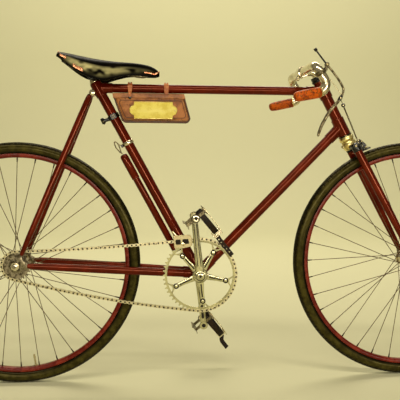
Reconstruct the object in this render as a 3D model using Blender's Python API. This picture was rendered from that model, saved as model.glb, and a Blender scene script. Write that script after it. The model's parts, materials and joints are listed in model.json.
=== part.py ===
"""Vintage bicycle: lugged steel frame, spoon brake, strapped pedals, leather saddle and tool bag.

Metres, +Z up, +X forwards, drive side (chain) at -Y. Every side-view size below is measured from the
rear axle: "ahead" is forwards of it and "above" is over it. The whole bicycle is then hung from the
rider's place on the saddle, which is the world origin.
"""

from math import asin, atan2, cos, pi, radians, sin, sqrt, tan

import bmesh
import bpy
from mathutils import Matrix, Vector

for old in list(bpy.data.objects):
    bpy.data.objects.remove(old, do_unlink=True)

# ---------------------------------------------------------------- driving sizes
WHEEL_RADIUS = 0.350
WHEELBASE = 1.1534
TYRE_WIDTH = 0.036
TYRE_DEPTH = 0.033
RIM_DEPTH = 0.0110
RIM_WIDTH = 0.027
SPOKE_COUNT = 36
SPOKE_RADIUS = 0.001

BRACKET_AHEAD = WHEEL_RADIUS + 0.1724   # crank axle: the rear wheel's room, ahead of the rear axle
BRACKET_DROP = 0.0333           # and below it
BRACKET_WIDTH = 0.068
SEAT_ANGLE = radians(61.7)
SEAT_TUBE_LENGTH = 0.612        # crank axle to the top tube's centre line
SEAT_TUBE_TOP = 0.018           # seat tube above that crossing
TOP_TUBE_SLOPE = radians(-0.5)
HEAD_ANGLE = radians(62.8)
FORK_LENGTH = WHEEL_RADIUS + 0.048      # front axle to the crown's middle, along the steering axis
FORK_RAKE = 0.0057
HEAD_TUBE_BELOW = 0.0235        # head tube's lower end, above the crown's middle

SEAT_TUBE_RADIUS = 0.0143
DOWN_TUBE_RADIUS = 0.0145
TOP_TUBE_RADIUS = 0.0127
HEAD_TUBE_RADIUS = 0.0165
STEERER_RADIUS = 0.0125
CHAIN_STAY_TALL = 0.0115        # half height of the oval stay
CHAIN_STAY_WIDE = 0.0070        # half width
LUG_WALL = 0.0024
LUG_EDGE = 0.0035               # head tube left bare beyond each lug

REAR_SPACING = 0.120            # between the insides of the rear dropouts
FRONT_SPACING = 0.100
AXLE_RADIUS = 0.005

CHAINLINE = 0.046               # chain's distance from the middle plane
CHAIN_PITCH = 0.0127
RING_TEETH = 52
SPROCKET_TEETH = 20
CHAIN_HEIGHT = 0.0086
CHAIN_WIDTH = 0.0075

CRANK_LENGTH = 0.175
CRANK_ANGLE = radians(95.8)     # right crank, from forwards, upwards
CRANK_INNER = 0.0600            # crank arm's inner face from the middle plane
CRANK_THICK = 0.0135
SPIDER_RADIUS = 0.0755          # chainring bolts
SPIDER_ARMS = 5
PEDAL_TILT = radians(39.5)
PEDAL_WIDTH = 0.078
PEDAL_LENGTH = 0.064

BAR_RADIUS = 0.0125
BAR_HALF_WIDTH = 0.190
GRIP_RADIUS = 0.0145

RIDER_BEHIND = 0.0213           # rider's place on the saddle, behind the seat tube's top crossing
RIDER_ABOVE = 0.0841

GAP = 0.0003                    # between pieces that touch
RUNNING = 0.0006                # between a shaft and what turns on it

TUBE_SIDES = 20

# ---------------------------------------------------------------- worked-out places (side view)
Y_AXIS = Vector((0, 1, 0))
BRACKET = Vector((BRACKET_AHEAD, 0, -BRACKET_DROP))
SEAT_DIRECTION = Vector((-cos(SEAT_ANGLE), 0, sin(SEAT_ANGLE)))
BEHIND_SEAT_TUBE = Vector((-sin(SEAT_ANGLE), 0, -cos(SEAT_ANGLE)))
SEAT_CROSSING = BRACKET + SEAT_DIRECTION * SEAT_TUBE_LENGTH
RIDER = SEAT_CROSSING + Vector((-RIDER_BEHIND, 0, RIDER_ABOVE))
FRONT_AXLE = Vector((WHEELBASE, 0, 0))
STEER_UP = Vector((-cos(HEAD_ANGLE), 0, sin(HEAD_ANGLE)))
STEER_FORWARD = Vector((sin(HEAD_ANGLE), 0, cos(HEAD_ANGLE)))
CROWN = FRONT_AXLE + STEER_UP * FORK_LENGTH - STEER_FORWARD * FORK_RAKE


def top_tube_crossing():
    """Where the top tube's centre line meets the steering axis."""
    slope = Vector((cos(TOP_TUBE_SLOPE), 0, sin(TOP_TUBE_SLOPE)))
    across = CROWN - SEAT_CROSSING
    along = across.dot(STEER_FORWARD) / slope.dot(STEER_FORWARD)
    return SEAT_CROSSING + slope * along


def lug_half_height(radius, direction):
    """Half of what a tube's lug covers of the head tube's back, from the two centre lines' crossing."""
    lean = direction.angle(STEER_UP)
    return (radius + LUG_WALL) / sin(lean) + HEAD_TUBE_RADIUS / abs(tan(lean))


def down_tube_crossing():
    """Where the down tube meets the steering axis, its lug just above the head tube's lower end."""
    run = (CROWN + STEER_UP * (HEAD_TUBE_BELOW + 0.028) - BRACKET).normalized()
    return CROWN + STEER_UP * (HEAD_TUBE_BELOW + LUG_EDGE + lug_half_height(DOWN_TUBE_RADIUS, run))


TOP_CROSSING = top_tube_crossing()
DOWN_CROSSING = down_tube_crossing()
TOP_DIRECTION = (TOP_CROSSING - SEAT_CROSSING).normalized()
HEAD_TOP = ((TOP_CROSSING - CROWN).dot(STEER_UP) + LUG_EDGE
            + lug_half_height(TOP_TUBE_RADIUS, TOP_DIRECTION))
DOWN_DIRECTION = (DOWN_CROSSING - BRACKET).normalized()
RING_RADIUS = CHAIN_PITCH / (2 * sin(pi / RING_TEETH))
SPROCKET_RADIUS = CHAIN_PITCH / (2 * sin(pi / SPROCKET_TEETH))
RIM_OUTER = WHEEL_RADIUS - TYRE_DEPTH - GAP
RIM_INNER = RIM_OUTER - RIM_DEPTH


# ---------------------------------------------------------------- finishes
def finish(name, colour, roughness, metallic=0.0):
    material = bpy.data.materials.new(name)
    material.use_nodes = True
    shader = material.node_tree.nodes["Principled BSDF"]
    shader.inputs["Base Color"].default_value = (*colour, 1.0)
    shader.inputs["Roughness"].default_value = roughness
    shader.inputs["Metallic"].default_value = metallic
    material.diffuse_color = (*colour, 1.0)
    return material


FINISHES = {
    "enamel": ((0.13, 0.012, 0.010), 0.25, 0.0),
    "rim_red": ((0.24, 0.030, 0.020), 0.35, 0.0),
    "rubber": ((0.022, 0.021, 0.012), 0.70, 0.0),
    "chrome": ((0.62, 0.58, 0.48), 0.18, 1.0),
    "steel": ((0.33, 0.31, 0.26), 0.40, 1.0),
    "black": ((0.015, 0.014, 0.012), 0.45, 0.0),
    "alloy": ((0.60, 0.58, 0.50), 0.30, 1.0),
    "brass": ((0.62, 0.42, 0.13), 0.30, 1.0),
    "cork": ((0.52, 0.15, 0.03), 0.75, 0.0),
    "saddle_leather": ((0.012, 0.009, 0.006), 0.30, 0.0),
    "bag_leather": ((0.24, 0.085, 0.035), 0.60, 0.0),
    "strap_leather": ((0.09, 0.045, 0.020), 0.55, 0.0),
    "label": ((0.80, 0.63, 0.13), 0.45, 0.0),
}


# ---------------------------------------------------------------- modelling helpers
def frame_point(name, parent, location, pitch=0.0):
    """An empty; pitch turns its X axis upwards about Y."""
    empty = bpy.data.objects.new(name, None)
    bpy.context.collection.objects.link(empty)
    empty.location = location
    empty.rotation_euler = (0, -pitch, 0)
    empty.parent = parent
    return empty


def solid(name, bm):
    """A mesh object from a bmesh, its faces turned outwards."""
    bmesh.ops.remove_doubles(bm, verts=bm.verts, dist=1e-6)
    bmesh.ops.recalc_face_normals(bm, faces=bm.faces)
    mesh = bpy.data.meshes.new(name)
    bm.to_mesh(mesh)
    bm.free()
    made = bpy.data.objects.new(name, mesh)
    bpy.context.collection.objects.link(made)
    return made


def skin(bm, rings, closed=False):
    """Faces between rings of points, with caps unless the last ring meets the first."""
    loops = [[bm.verts.new(point) for point in ring] for ring in rings]
    count = len(loops[0])
    last = len(loops) if closed else len(loops) - 1
    for i in range(last):
        here = loops[i]
        following = loops[(i + 1) % len(loops)]
        for j in range(count):
            k = (j + 1) % count
            bm.faces.new((here[j], here[k], following[k], following[j]))
    if not closed:
        bm.faces.new(loops[0][::-1])
        bm.faces.new(loops[-1])


def section(centre, tangent, across, tall, wide, sides):
    """Points of an oval, or of a rectangle when sides is 4, square to a path's tangent."""
    side = (across - tangent * across.dot(tangent)).normalized()
    up = side.cross(tangent).normalized()
    if sides == 4:
        corners = ((1, 1), (-1, 1), (-1, -1), (1, -1))
        return [centre + side * wide * a + up * tall * b for a, b in corners]
    angles = [2 * pi * i / sides for i in range(sides)]
    return [centre + side * wide * cos(a) + up * tall * sin(a) for a in angles]


def bar(name, path, sizes, across=Y_AXIS, sides=TUBE_SIDES, closed=False):
    """A solid bar along a path; sizes is (tall, wide) half sizes, one pair or one for each point."""
    points = [Vector(point) for point in path]
    if not isinstance(sizes[0], (tuple, list)):
        sizes = [sizes] * len(points)
    rings = []
    for i, point in enumerate(points):
        before = points[i - 1] if closed or i else point
        after = points[(i + 1) % len(points)] if closed or i + 1 < len(points) else point
        rings.append(section(point, (after - before).normalized(), across, *sizes[i], sides))
    bm = bmesh.new()
    skin(bm, rings, closed)
    return solid(name, bm)


def rod(name, start, end, radius, end_radius=None, sides=TUBE_SIDES):
    """A straight round bar or cone."""
    start = Vector(start)
    end = Vector(end)
    run = (end - start).normalized()
    across = Vector((1, 0, 0)) if abs(run.y) > 0.9 else Y_AXIS
    end_radius = radius if end_radius is None else end_radius
    return bar(name, (start, end), [(radius, radius), (end_radius, end_radius)], across, sides)


def turned(name, profile, centre=(0, 0, 0), axis=Y_AXIS, steps=32, hollow=True):
    """A turned piece; profile is (radius, distance along the axis), a closed loop when hollow."""
    bm = bmesh.new()
    verts = [bm.verts.new((r, 0, h)) for r, h in profile]
    pairs = list(zip(verts, verts[1:]))
    if hollow:
        pairs.append((verts[-1], verts[0]))
    edges = [bm.edges.new(pair) for pair in pairs]
    bmesh.ops.spin(bm, geom=verts + edges, cent=(0, 0, 0), axis=(0, 0, 1), angle=2 * pi,
                   steps=steps, use_merge=True)
    turn = Vector((0, 0, 1)).rotation_difference(Vector(axis)).to_matrix().to_4x4()
    bmesh.ops.transform(bm, matrix=Matrix.Translation(centre) @ turn, verts=bm.verts)
    return solid(name, bm)


def sleeve(name, start, end, inner, outer, steps=TUBE_SIDES):
    """A short round tube from start to end."""
    start = Vector(start)
    run = Vector(end) - start
    length = run.length
    profile = ((outer, 0), (outer, length), (inner, length), (inner, 0))
    return turned(name, profile, start, run.normalized(), steps)


def plate(name, outline, low, high):
    """A plate in the side view, (ahead, above) corners, from y = low to y = high."""
    bm = bmesh.new()
    face = bm.faces.new([bm.verts.new((x, low, z)) for x, z in outline])
    made = bmesh.ops.extrude_face_region(bm, geom=[face])["geom"]
    moved = [item for item in made if isinstance(item, bmesh.types.BMVert)]
    bmesh.ops.translate(bm, verts=moved, vec=(0, high - low, 0))
    return solid(name, bm)


def rounded(corners, radius, steps=4):
    """An outline with each corner turned to an arc of the given radius."""
    points = []
    flat = [Vector(corner) for corner in corners]
    for i, corner in enumerate(flat):
        back = (flat[i - 1] - corner).normalized()
        ahead = (flat[(i + 1) % len(flat)] - corner).normalized()
        half = back.angle(ahead) / 2
        middle = corner + (back + ahead).normalized() * (radius / sin(half))
        start = corner + back * (radius / tan(half)) - middle
        end = corner + ahead * (radius / tan(half)) - middle
        for step in range(steps + 1):
            spoke = start.lerp(end, step / steps).normalized() * radius
            points.append(tuple(middle + spoke))
    return points


def sector(inner, outer, start, end, steps=8):
    """Side-view outline of a piece of a flat ring."""
    angles = [start + (end - start) * i / steps for i in range(steps + 1)]
    outside = [(outer * cos(a), outer * sin(a)) for a in angles]
    inside = [(inner * cos(a), inner * sin(a)) for a in reversed(angles)]
    return outside + inside


def moved(outline, centre):
    return [(x + centre.x, z + centre.z) for x, z in outline]


def boolean(target, tools, operation):
    """Unites the tools with a solid or cuts them from it, and removes them."""
    for tool in tools:
        modifier = target.modifiers.new("shape", "BOOLEAN")
        modifier.operation = operation
        modifier.solver = "EXACT"
        modifier.object = tool
    bpy.context.view_layer.update()
    evaluated = target.evaluated_get(bpy.context.evaluated_depsgraph_get())
    mesh = bpy.data.meshes.new_from_object(evaluated)
    target.modifiers.clear()
    target.data = mesh
    for tool in tools:
        bpy.data.objects.remove(tool, do_unlink=True)
    return target


def united(first, *others):
    return boolean(first, others, "UNION")


def cut(target, *cutters):
    return boolean(target, cutters, "DIFFERENCE")


def smooth_path(points, steps):
    """Points of a Catmull-Rom curve through the given ones."""
    knots = [Vector(point) for point in points]
    knots = [knots[0] * 2 - knots[1]] + knots + [knots[-1] * 2 - knots[-2]]
    path = []
    for a, b, c, d in zip(knots, knots[1:], knots[2:], knots[3:]):
        for step in range(steps):
            t = step / steps
            path.append(0.5 * (2 * b + (c - a) * t + (2 * a - 5 * b + 4 * c - d) * t * t
                               + (3 * b - a - 3 * c + d) * t ** 3))
    path.append(knots[-2])
    return path


def fit(piece, name, parent, material, smooth=35):
    """Names a finished solid, gives it its material and hangs it on its parent."""
    piece.name = name
    piece.data.name = name
    piece.data.materials.clear()
    piece.data.materials.append(material)
    piece.data.shade_smooth()
    piece.data.set_sharp_from_angle(angle=radians(smooth))
    piece.parent = parent
    return piece


def done(piece, name, parent, kind, smooth=35):
    """Fits a piece with a material of its own."""
    material = finish(name, *FINISHES[kind])
    return fit(piece, name, parent, material, smooth)


# ---------------------------------------------------------------- joint places
bicycle = frame_point("bicycle", None, -RIDER)
steering = frame_point("steering_axis", bicycle, CROWN, pi / 2 - HEAD_ANGLE)
rear_wheel_axis = frame_point("rear_wheel_axis", bicycle, (0, 0, 0))
front_wheel_axis = frame_point("front_wheel_axis", steering, (FORK_RAKE, 0, -FORK_LENGTH))
crank_axis = frame_point("crank_axis", bicycle, BRACKET)
PEDAL_ARM = Vector((cos(CRANK_ANGLE), 0, sin(CRANK_ANGLE))) * CRANK_LENGTH
PEDAL_OUT = CRANK_INNER + CRANK_THICK
pedal_axes = {
    "right": frame_point("pedal_right_axis", crank_axis, PEDAL_ARM, PEDAL_TILT),
    "left": frame_point("pedal_left_axis", crank_axis, -PEDAL_ARM, PEDAL_TILT),
}
SIDES = (("right", -1), ("left", 1))


# ---------------------------------------------------------------- frame tubes
def stand_off(radius, other_radius, direction, other):
    """How far from the crossing a tube's end lies to stay clear of another tube's side."""
    lean = abs(direction.dot(other))
    square = sqrt(1 - lean * lean)
    return (other_radius + radius * lean) / square + GAP


BRACKET_SHELL_RADIUS = 0.020
IN_BRACKET = max(DOWN_TUBE_RADIUS / tan(SEAT_DIRECTION.angle(DOWN_DIRECTION) / 2) + 3 * GAP,
                 BRACKET_SHELL_RADIUS)
TOP_IN_HEAD = stand_off(TOP_TUBE_RADIUS, STEERER_RADIUS + RUNNING, TOP_DIRECTION, STEER_UP)
DOWN_IN_HEAD = stand_off(DOWN_TUBE_RADIUS, STEERER_RADIUS + RUNNING, DOWN_DIRECTION, STEER_UP)
TOP_IN_SEAT = stand_off(TOP_TUBE_RADIUS, SEAT_TUBE_RADIUS, TOP_DIRECTION, SEAT_DIRECTION)


def frame_tubes():
    seat_top = BRACKET + SEAT_DIRECTION * (SEAT_TUBE_LENGTH + SEAT_TUBE_TOP)
    tubes = (
        # name, start, end, radius
        ("seat_tube", BRACKET + SEAT_DIRECTION * IN_BRACKET, seat_top, SEAT_TUBE_RADIUS),
        ("down_tube", BRACKET + DOWN_DIRECTION * IN_BRACKET,
         DOWN_CROSSING - DOWN_DIRECTION * DOWN_IN_HEAD, DOWN_TUBE_RADIUS),
        ("top_tube", SEAT_CROSSING + TOP_DIRECTION * TOP_IN_SEAT,
         TOP_CROSSING - TOP_DIRECTION * TOP_IN_HEAD, TOP_TUBE_RADIUS),
    )
    for name, start, end, radius in tubes:
        done(rod(name, start, end, radius), name, bicycle, "enamel")


LUG_REACH = 0.040               # how far a lug runs out from the crossing


def socket(start, direction, radius, reach, name="socket"):
    """A lug's outer sleeve, solid, from a crossing point outwards."""
    return rod(name, start, start + direction * reach, radius + LUG_WALL)


def socket_bore(start, direction, radius, depth, name="socket_bore"):
    """The hole that a tube's end sits in, open at the lug's mouth."""
    return rod(name, start + direction * (depth - GAP), start + direction * 0.08, radius + GAP)


def bottom_bracket():
    half = Y_AXIS * (BRACKET_WIDTH / 2)
    shell = rod("shell", BRACKET - half, BRACKET + half, BRACKET_SHELL_RADIUS, sides=28)
    shell = united(shell,
                   socket(BRACKET, SEAT_DIRECTION, SEAT_TUBE_RADIUS, LUG_REACH),
                   socket(BRACKET, DOWN_DIRECTION, DOWN_TUBE_RADIUS, LUG_REACH))
    shell = cut(shell,
                socket_bore(BRACKET, SEAT_DIRECTION, SEAT_TUBE_RADIUS, IN_BRACKET),
                socket_bore(BRACKET, DOWN_DIRECTION, DOWN_TUBE_RADIUS, IN_BRACKET),
                rod("bore", BRACKET - half * 2, BRACKET + half * 2, CRANK_AXLE_RADIUS + RUNNING))
    done(shell, "bottom_bracket", bicycle, "enamel")


def head_tube():
    low = CROWN + STEER_UP * HEAD_TUBE_BELOW
    high = CROWN + STEER_UP * HEAD_TOP
    head = rod("head", low, high, HEAD_TUBE_RADIUS, sides=24)
    head = united(head,
                  socket(TOP_CROSSING, -TOP_DIRECTION, TOP_TUBE_RADIUS, LUG_REACH),
                  socket(DOWN_CROSSING, -DOWN_DIRECTION, DOWN_TUBE_RADIUS, LUG_REACH + 0.006))
    head = cut(head,
               socket_bore(TOP_CROSSING, -TOP_DIRECTION, TOP_TUBE_RADIUS, TOP_IN_HEAD),
               socket_bore(DOWN_CROSSING, -DOWN_DIRECTION, DOWN_TUBE_RADIUS, DOWN_IN_HEAD),
               rod("bore", low - STEER_UP * 0.02, high + STEER_UP * 0.02, STEERER_RADIUS + RUNNING))
    done(head, "head_tube", bicycle, "enamel")


SEAT_BOLT_BEHIND = 0.0205       # seat bolt behind the seat tube's centre line
SEAT_BOLT_UP = SEAT_TUBE_LENGTH - 0.0060
SEAT_BOLT_RADIUS = 0.0055
SEAT_STAY_RADIUS = 0.0085
SEAT_STAY_TOP_RADIUS = 0.0065
SEAT_STAY_EVEN = 0.66           # share of a seat stay's run where its top taper starts
BRIDGE_RADIUS = 0.006
SEAT_BOLT = BRACKET + SEAT_DIRECTION * SEAT_BOLT_UP + BEHIND_SEAT_TUBE * SEAT_BOLT_BEHIND
SEAT_STAY_TOP_APART = 0.0155    # each seat stay's top from the middle plane


def seat_lug():
    low = BRACKET + SEAT_DIRECTION * (SEAT_TUBE_LENGTH - 0.030)
    high = BRACKET + SEAT_DIRECTION * (SEAT_TUBE_LENGTH + SEAT_TUBE_TOP - 0.001)
    lug = rod("lug", low, high, SEAT_TUBE_RADIUS + LUG_WALL)
    ear = BRACKET + SEAT_DIRECTION * SEAT_BOLT_UP
    lug = united(lug,
                 socket(SEAT_CROSSING, TOP_DIRECTION, TOP_TUBE_RADIUS, LUG_REACH + 0.004),
                 bar("ear", (ear, SEAT_BOLT + BEHIND_SEAT_TUBE * 0.004), (0.007, 0.007), sides=4),
                 rod("bolt", SEAT_BOLT - Y_AXIS * 0.024, SEAT_BOLT + Y_AXIS * 0.024, SEAT_BOLT_RADIUS))
    lug = cut(lug,
              rod("bore", low - SEAT_DIRECTION * 0.02, high + SEAT_DIRECTION * 0.02,
                  SEAT_TUBE_RADIUS + GAP),
              socket_bore(SEAT_CROSSING, TOP_DIRECTION, TOP_TUBE_RADIUS, TOP_IN_SEAT))
    done(lug, "seat_lug", bicycle, "enamel")


DROPOUT_THICK = 0.005
DROPOUT_RADIUS = 0.017
CHAIN_STAY_FRONT = Vector((BRACKET_AHEAD - BRACKET_SHELL_RADIUS - 0.0012, 0.0245, -BRACKET_DROP + 0.001))
CHAIN_STAY_REAR = Vector((0.034, REAR_SPACING / 2 + DROPOUT_THICK / 2, 0.001))
SEAT_STAY_REAR = Vector((0.014, REAR_SPACING / 2 + DROPOUT_THICK / 2, 0.033))
STAY_BRIDGE = WHEEL_RADIUS + 0.039      # seat stay bridge from the rear axle


def on_side(point, side):
    return Vector((point.x, point.y * side, point.z))


def seat_stay_axis(side):
    """Bottom and top of a seat stay's centre line; the top stops just short of the seat bolt."""
    low = on_side(SEAT_STAY_REAR, side)
    high = Vector((SEAT_BOLT.x, SEAT_STAY_TOP_APART * side, SEAT_BOLT.z))
    return low, high - (high - low).normalized() * (SEAT_BOLT_RADIUS + 3 * GAP)


def rear_triangle():
    for name, side in SIDES:
        front = on_side(CHAIN_STAY_FRONT, side)
        rear = on_side(CHAIN_STAY_REAR, side)
        stations = [front, front.lerp(rear, 0.75), rear]
        sizes = [(CHAIN_STAY_TALL, CHAIN_STAY_WIDE), (CHAIN_STAY_TALL, CHAIN_STAY_WIDE), (0.009, 0.006)]
        done(bar("stay", stations, sizes), "chain_stay_" + name, bicycle, "enamel")

        low, high = seat_stay_axis(side)
        stations = [low, low.lerp(high, 0.12), low.lerp(high, SEAT_STAY_EVEN), high]
        sizes = [(0.0065, 0.006), (SEAT_STAY_RADIUS, SEAT_STAY_RADIUS), (SEAT_STAY_RADIUS, SEAT_STAY_RADIUS),
                 (SEAT_STAY_TOP_RADIUS, SEAT_STAY_TOP_RADIUS)]
        done(bar("stay", stations, sizes), "seat_stay_" + name, bicycle, "enamel")

        inside = side * REAR_SPACING / 2
        outside = inside + side * DROPOUT_THICK
        done(dropout(min(inside, outside), max(inside, outside)), "dropout_" + name, bicycle, "steel")

    low, high = seat_stay_axis(1)
    share = (STAY_BRIDGE - low.xz.length) / (high.xz.length - low.xz.length)
    place = low.lerp(high, share)
    taper = max(0.0, share - SEAT_STAY_EVEN) / (1 - SEAT_STAY_EVEN)
    stay_radius = SEAT_STAY_RADIUS + (SEAT_STAY_TOP_RADIUS - SEAT_STAY_RADIUS) * taper
    splay = (low.y - high.y) / (high.xz - low.xz).length
    reach = place.y - stay_radius * sqrt(1 + splay * splay) - BRIDGE_RADIUS * splay - GAP
    bridge = rod("bridge", (place.x, -reach, place.z), (place.x, reach, place.z), BRIDGE_RADIUS, sides=12)
    done(bridge, "seat_stay_bridge", bicycle, "enamel")


def dropout(low, high):
    """A plate round the axle with an arm to each stay, and the axle's hole."""
    outline = []
    for i in range(13):
        angle = radians(80 + 20 * i)
        outline.append((DROPOUT_RADIUS * cos(angle), DROPOUT_RADIUS * sin(angle)))
    stay = CHAIN_STAY_REAR
    outline.append((stay.x - 4 * GAP, -0.009))
    outline.append((stay.x - 4 * GAP, 0.009))
    outline.append((0.022, 0.022))
    up = (SEAT_BOLT - SEAT_STAY_REAR)
    up = Vector((up.x, 0, up.z)).normalized()
    back = Vector((-up.z, 0, up.x))
    tip = SEAT_STAY_REAR - up * 3 * GAP
    outline.append((tip.x - back.x * 0.006, tip.z - back.z * 0.006))
    outline.append((tip.x + back.x * 0.006, tip.z + back.z * 0.006))
    blank = plate("dropout", outline, low, high)
    return cut(blank, rod("hole", (0, low - 0.01, 0), (0, high + 0.01, 0), AXLE_RADIUS + GAP))


def wheel_axle(name, parent, spacing, end_thick):
    """A wheel's fixed axle, with a locknut inside and a nut outside each fork end."""
    inside = spacing / 2 - GAP
    outside = spacing / 2 + end_thick + GAP
    tip = outside + 0.014
    half = (
        # radius, distance from the middle
        (AXLE_RADIUS, inside - 0.006),
        (0.0085, inside - 0.006),
        (0.0085, inside),
        (AXLE_RADIUS, inside),
        (AXLE_RADIUS, outside),
        (0.0095, outside),
        (0.0095, outside + 0.009),
        (AXLE_RADIUS, outside + 0.009),
        (AXLE_RADIUS, tip),
        (0, tip),
    )
    profile = [(r, -y) for r, y in reversed(half)] + list(half)
    done(turned("axle", profile, steps=12, hollow=False), name, parent, "steel")


# ---------------------------------------------------------------- saddle
SADDLE_THICK = 0.005
SADDLE_STATIONS = (
    # ahead of the seat tube's top crossing, top above it, half width, drop of the side
    (-0.118, 0.089, 0.058, 0.010),
    (-0.108, 0.098, 0.072, 0.024),
    (-0.082, 0.0955, 0.078, 0.040),
    (-0.049, 0.0895, 0.074, 0.055),
    (-0.016, 0.0835, 0.063, 0.060),
    (0.017, 0.0785, 0.050, 0.060),
    (0.049, 0.075, 0.038, 0.050),
    (0.081, 0.073, 0.029, 0.041),
    (0.113, 0.0705, 0.023, 0.037),
    (0.145, 0.0645, 0.0195, 0.033),
    (0.166, 0.055, 0.0155, 0.024),
    (0.177, 0.044, 0.009, 0.010),
)
SADDLE_FLATNESS = 0.55


def saddle_half(station, share):
    """A point on a saddle station, from the middle (share 0) to the skirt's edge (share 1 or -1)."""
    ahead, top, half_width, drop = station
    angle = share * pi / 2
    fall = 1 - max(cos(angle), 0.0) ** SADDLE_FLATNESS
    return SEAT_CROSSING + Vector((ahead, half_width * sin(angle), top - drop * fall))


def saddle_top():
    bm = bmesh.new()
    shares = [-1 + i / 7 for i in range(15)]
    shares = [share * (1.35 - 0.35 * abs(share)) for share in shares]
    rows = [[bm.verts.new(saddle_half(station, share)) for share in shares]
            for station in SADDLE_STATIONS]
    for row, following in zip(rows, rows[1:]):
        for j in range(len(shares) - 1):
            bm.faces.new((row[j], following[j], following[j + 1], row[j + 1]))
    leather = solid("saddle", bm)
    if leather.data.polygons[len(leather.data.polygons) // 2].normal.z < 0:
        leather.data.flip_normals()
    thick = leather.modifiers.new("thickness", "SOLIDIFY")
    thick.thickness = SADDLE_THICK
    thick.offset = -1
    done(leather, "saddle_top", bicycle, "saddle_leather", 60)


CLAMP_RADIUS = 0.009
CLAMP_UP = SEAT_TUBE_LENGTH + 0.036     # saddle clamp's middle along the seat tube
CLAMP = BRACKET + SEAT_DIRECTION * CLAMP_UP
RAIL_RADIUS = 0.0035
RAIL_APART = 0.022
RAIL_ABOVE = CLAMP.z + CLAMP_RADIUS + GAP + RAIL_RADIUS


def saddle_support():
    rear = saddle_half(SADDLE_STATIONS[2], 0.42)
    rear_under = rear - Vector((0, 0, SADDLE_THICK + 0.0005 + RAIL_RADIUS))
    nose = saddle_half(SADDLE_STATIONS[-2], 0) - Vector((0.010, 0, SADDLE_THICK + 0.0085))
    half = (
        # one side, from the rear end under the leather to the nose
        (rear_under.x, rear_under.y, rear_under.z),
        (rear_under.x + 0.018, 0.034, (rear_under.z + RAIL_ABOVE) / 2),
        (CLAMP.x - 0.026, RAIL_APART, RAIL_ABOVE),
        (CLAMP.x, RAIL_APART, RAIL_ABOVE),
        (CLAMP.x + 0.026, RAIL_APART, RAIL_ABOVE),
        (CLAMP.x + 0.084, 0.015, RAIL_ABOVE - 0.002),
        (nose.x - 0.030, 0.0105, nose.z - 0.009),
        (nose.x - 0.008, 0.006, nose.z - 0.001),
        tuple(nose),
    )
    route = list(half) + [(x, -y, z) for x, y, z in reversed(half[:-1])]
    path = smooth_path(route, 3)
    rails = bar("rails", path, (RAIL_RADIUS, RAIL_RADIUS), across=Vector((0, 0, 1)), sides=6)
    done(rails, "saddle_rails", bicycle, "steel")

    clamp = rod("clamp", CLAMP - Y_AXIS * 0.032, CLAMP + Y_AXIS * 0.032, CLAMP_RADIUS)
    done(clamp, "saddle_clamp", bicycle, "black")
    low = BRACKET + SEAT_DIRECTION * (SEAT_TUBE_LENGTH + SEAT_TUBE_TOP + GAP)
    high = CLAMP - SEAT_DIRECTION * (CLAMP_RADIUS + GAP)
    done(rod("post", low, high, 0.0125), "seat_post", bicycle, "steel")


# ---------------------------------------------------------------- tool bag
BAG_HALF_WIDTH = 0.024
BAG_HANG = 0.0035               # bag's top below the tube's underside
BAG_REAR = SEAT_CROSSING.x + 0.0415
BAG_FRONT = BAG_REAR + 0.2055
BAG_STRAPS = (("rear", 0.0505), ("front", 0.1545))    # ahead of the bag's rear
BAG_PLATE_THICK = 0.0016


def top_tube_at(ahead):
    """Top tube's centre above a place along it."""
    return SEAT_CROSSING.z + (ahead - SEAT_CROSSING.x) * tan(TOP_TUBE_SLOPE)


def tool_bag():
    rear_top = top_tube_at(BAG_REAR) - TOP_TUBE_RADIUS - BAG_HANG
    front_top = top_tube_at(BAG_FRONT) - TOP_TUBE_RADIUS - BAG_HANG
    corners = (
        (BAG_REAR, rear_top),
        (BAG_FRONT, front_top),
        (BAG_FRONT + 0.0205, front_top - 0.0805),
        (BAG_REAR + 0.0285, rear_top - 0.0815),
    )
    body = plate("bag", rounded(corners, 0.009), -BAG_HALF_WIDTH, BAG_HALF_WIDTH)
    soften(body, 0.004)
    done(body, "tool_bag", bicycle, "bag_leather")

    middle = Vector((BAG_REAR + 0.1170, 0, (rear_top + front_top) / 2 - 0.0470))
    slope = TOP_TUBE_SLOPE
    outline = label_outline(0.0545, 0.0245, 0.0150)
    turned_outline = [(x * cos(slope) - z * sin(slope), x * sin(slope) + z * cos(slope))
                      for x, z in outline]
    near = -BAG_HALF_WIDTH - GAP
    label = plate("label", moved(turned_outline, middle), near - BAG_PLATE_THICK, near)
    done(label, "bag_plate", bicycle, "label")

    for name, ahead in BAG_STRAPS:
        done(bag_strap(BAG_REAR + ahead), "bag_strap_" + name, bicycle, "strap_leather")


def soften(piece, width, segments=2):
    bevel = piece.modifiers.new("edge", "BEVEL")
    bevel.width = width
    bevel.segments = segments
    bevel.limit_method = "ANGLE"
    bevel.angle_limit = radians(50)


def label_outline(half_length, half_height, ear):
    """A rectangle with a round ear at each end."""
    points = []
    for side in (1, -1):
        points.append((side * half_length, -side * half_height))
        for i in range(9):
            angle = radians(-80 + 20 * i)
            points.append((side * (half_length - 0.001 + ear * cos(angle)),
                           side * ear * sin(angle)))
        points.append((side * half_length, side * half_height))
    return points


def bag_strap(ahead):
    """A leather band over the top tube and down both faces of the bag."""
    thick = 0.0011
    centre = top_tube_at(ahead)
    over = TOP_TUBE_RADIUS + 2 * GAP + thick
    face = BAG_HALF_WIDTH + GAP + thick
    bag_top = centre - TOP_TUBE_RADIUS - BAG_HANG
    half = [(over * cos(radians(a)), over * sin(radians(a))) for a in (75, 60, 45, 30, 15)]
    half += [(over + 0.0004, -0.003), (face, bag_top - centre + 0.001), (face, bag_top - centre - 0.014)]
    line = [(-y, z) for y, z in reversed(half)] + [(0, over)] + half
    path = [(ahead, y, centre + z) for y, z in line]
    return bar("strap", path, (thick, 0.0065), across=Vector((1, 0, 0)), sides=4)


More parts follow.
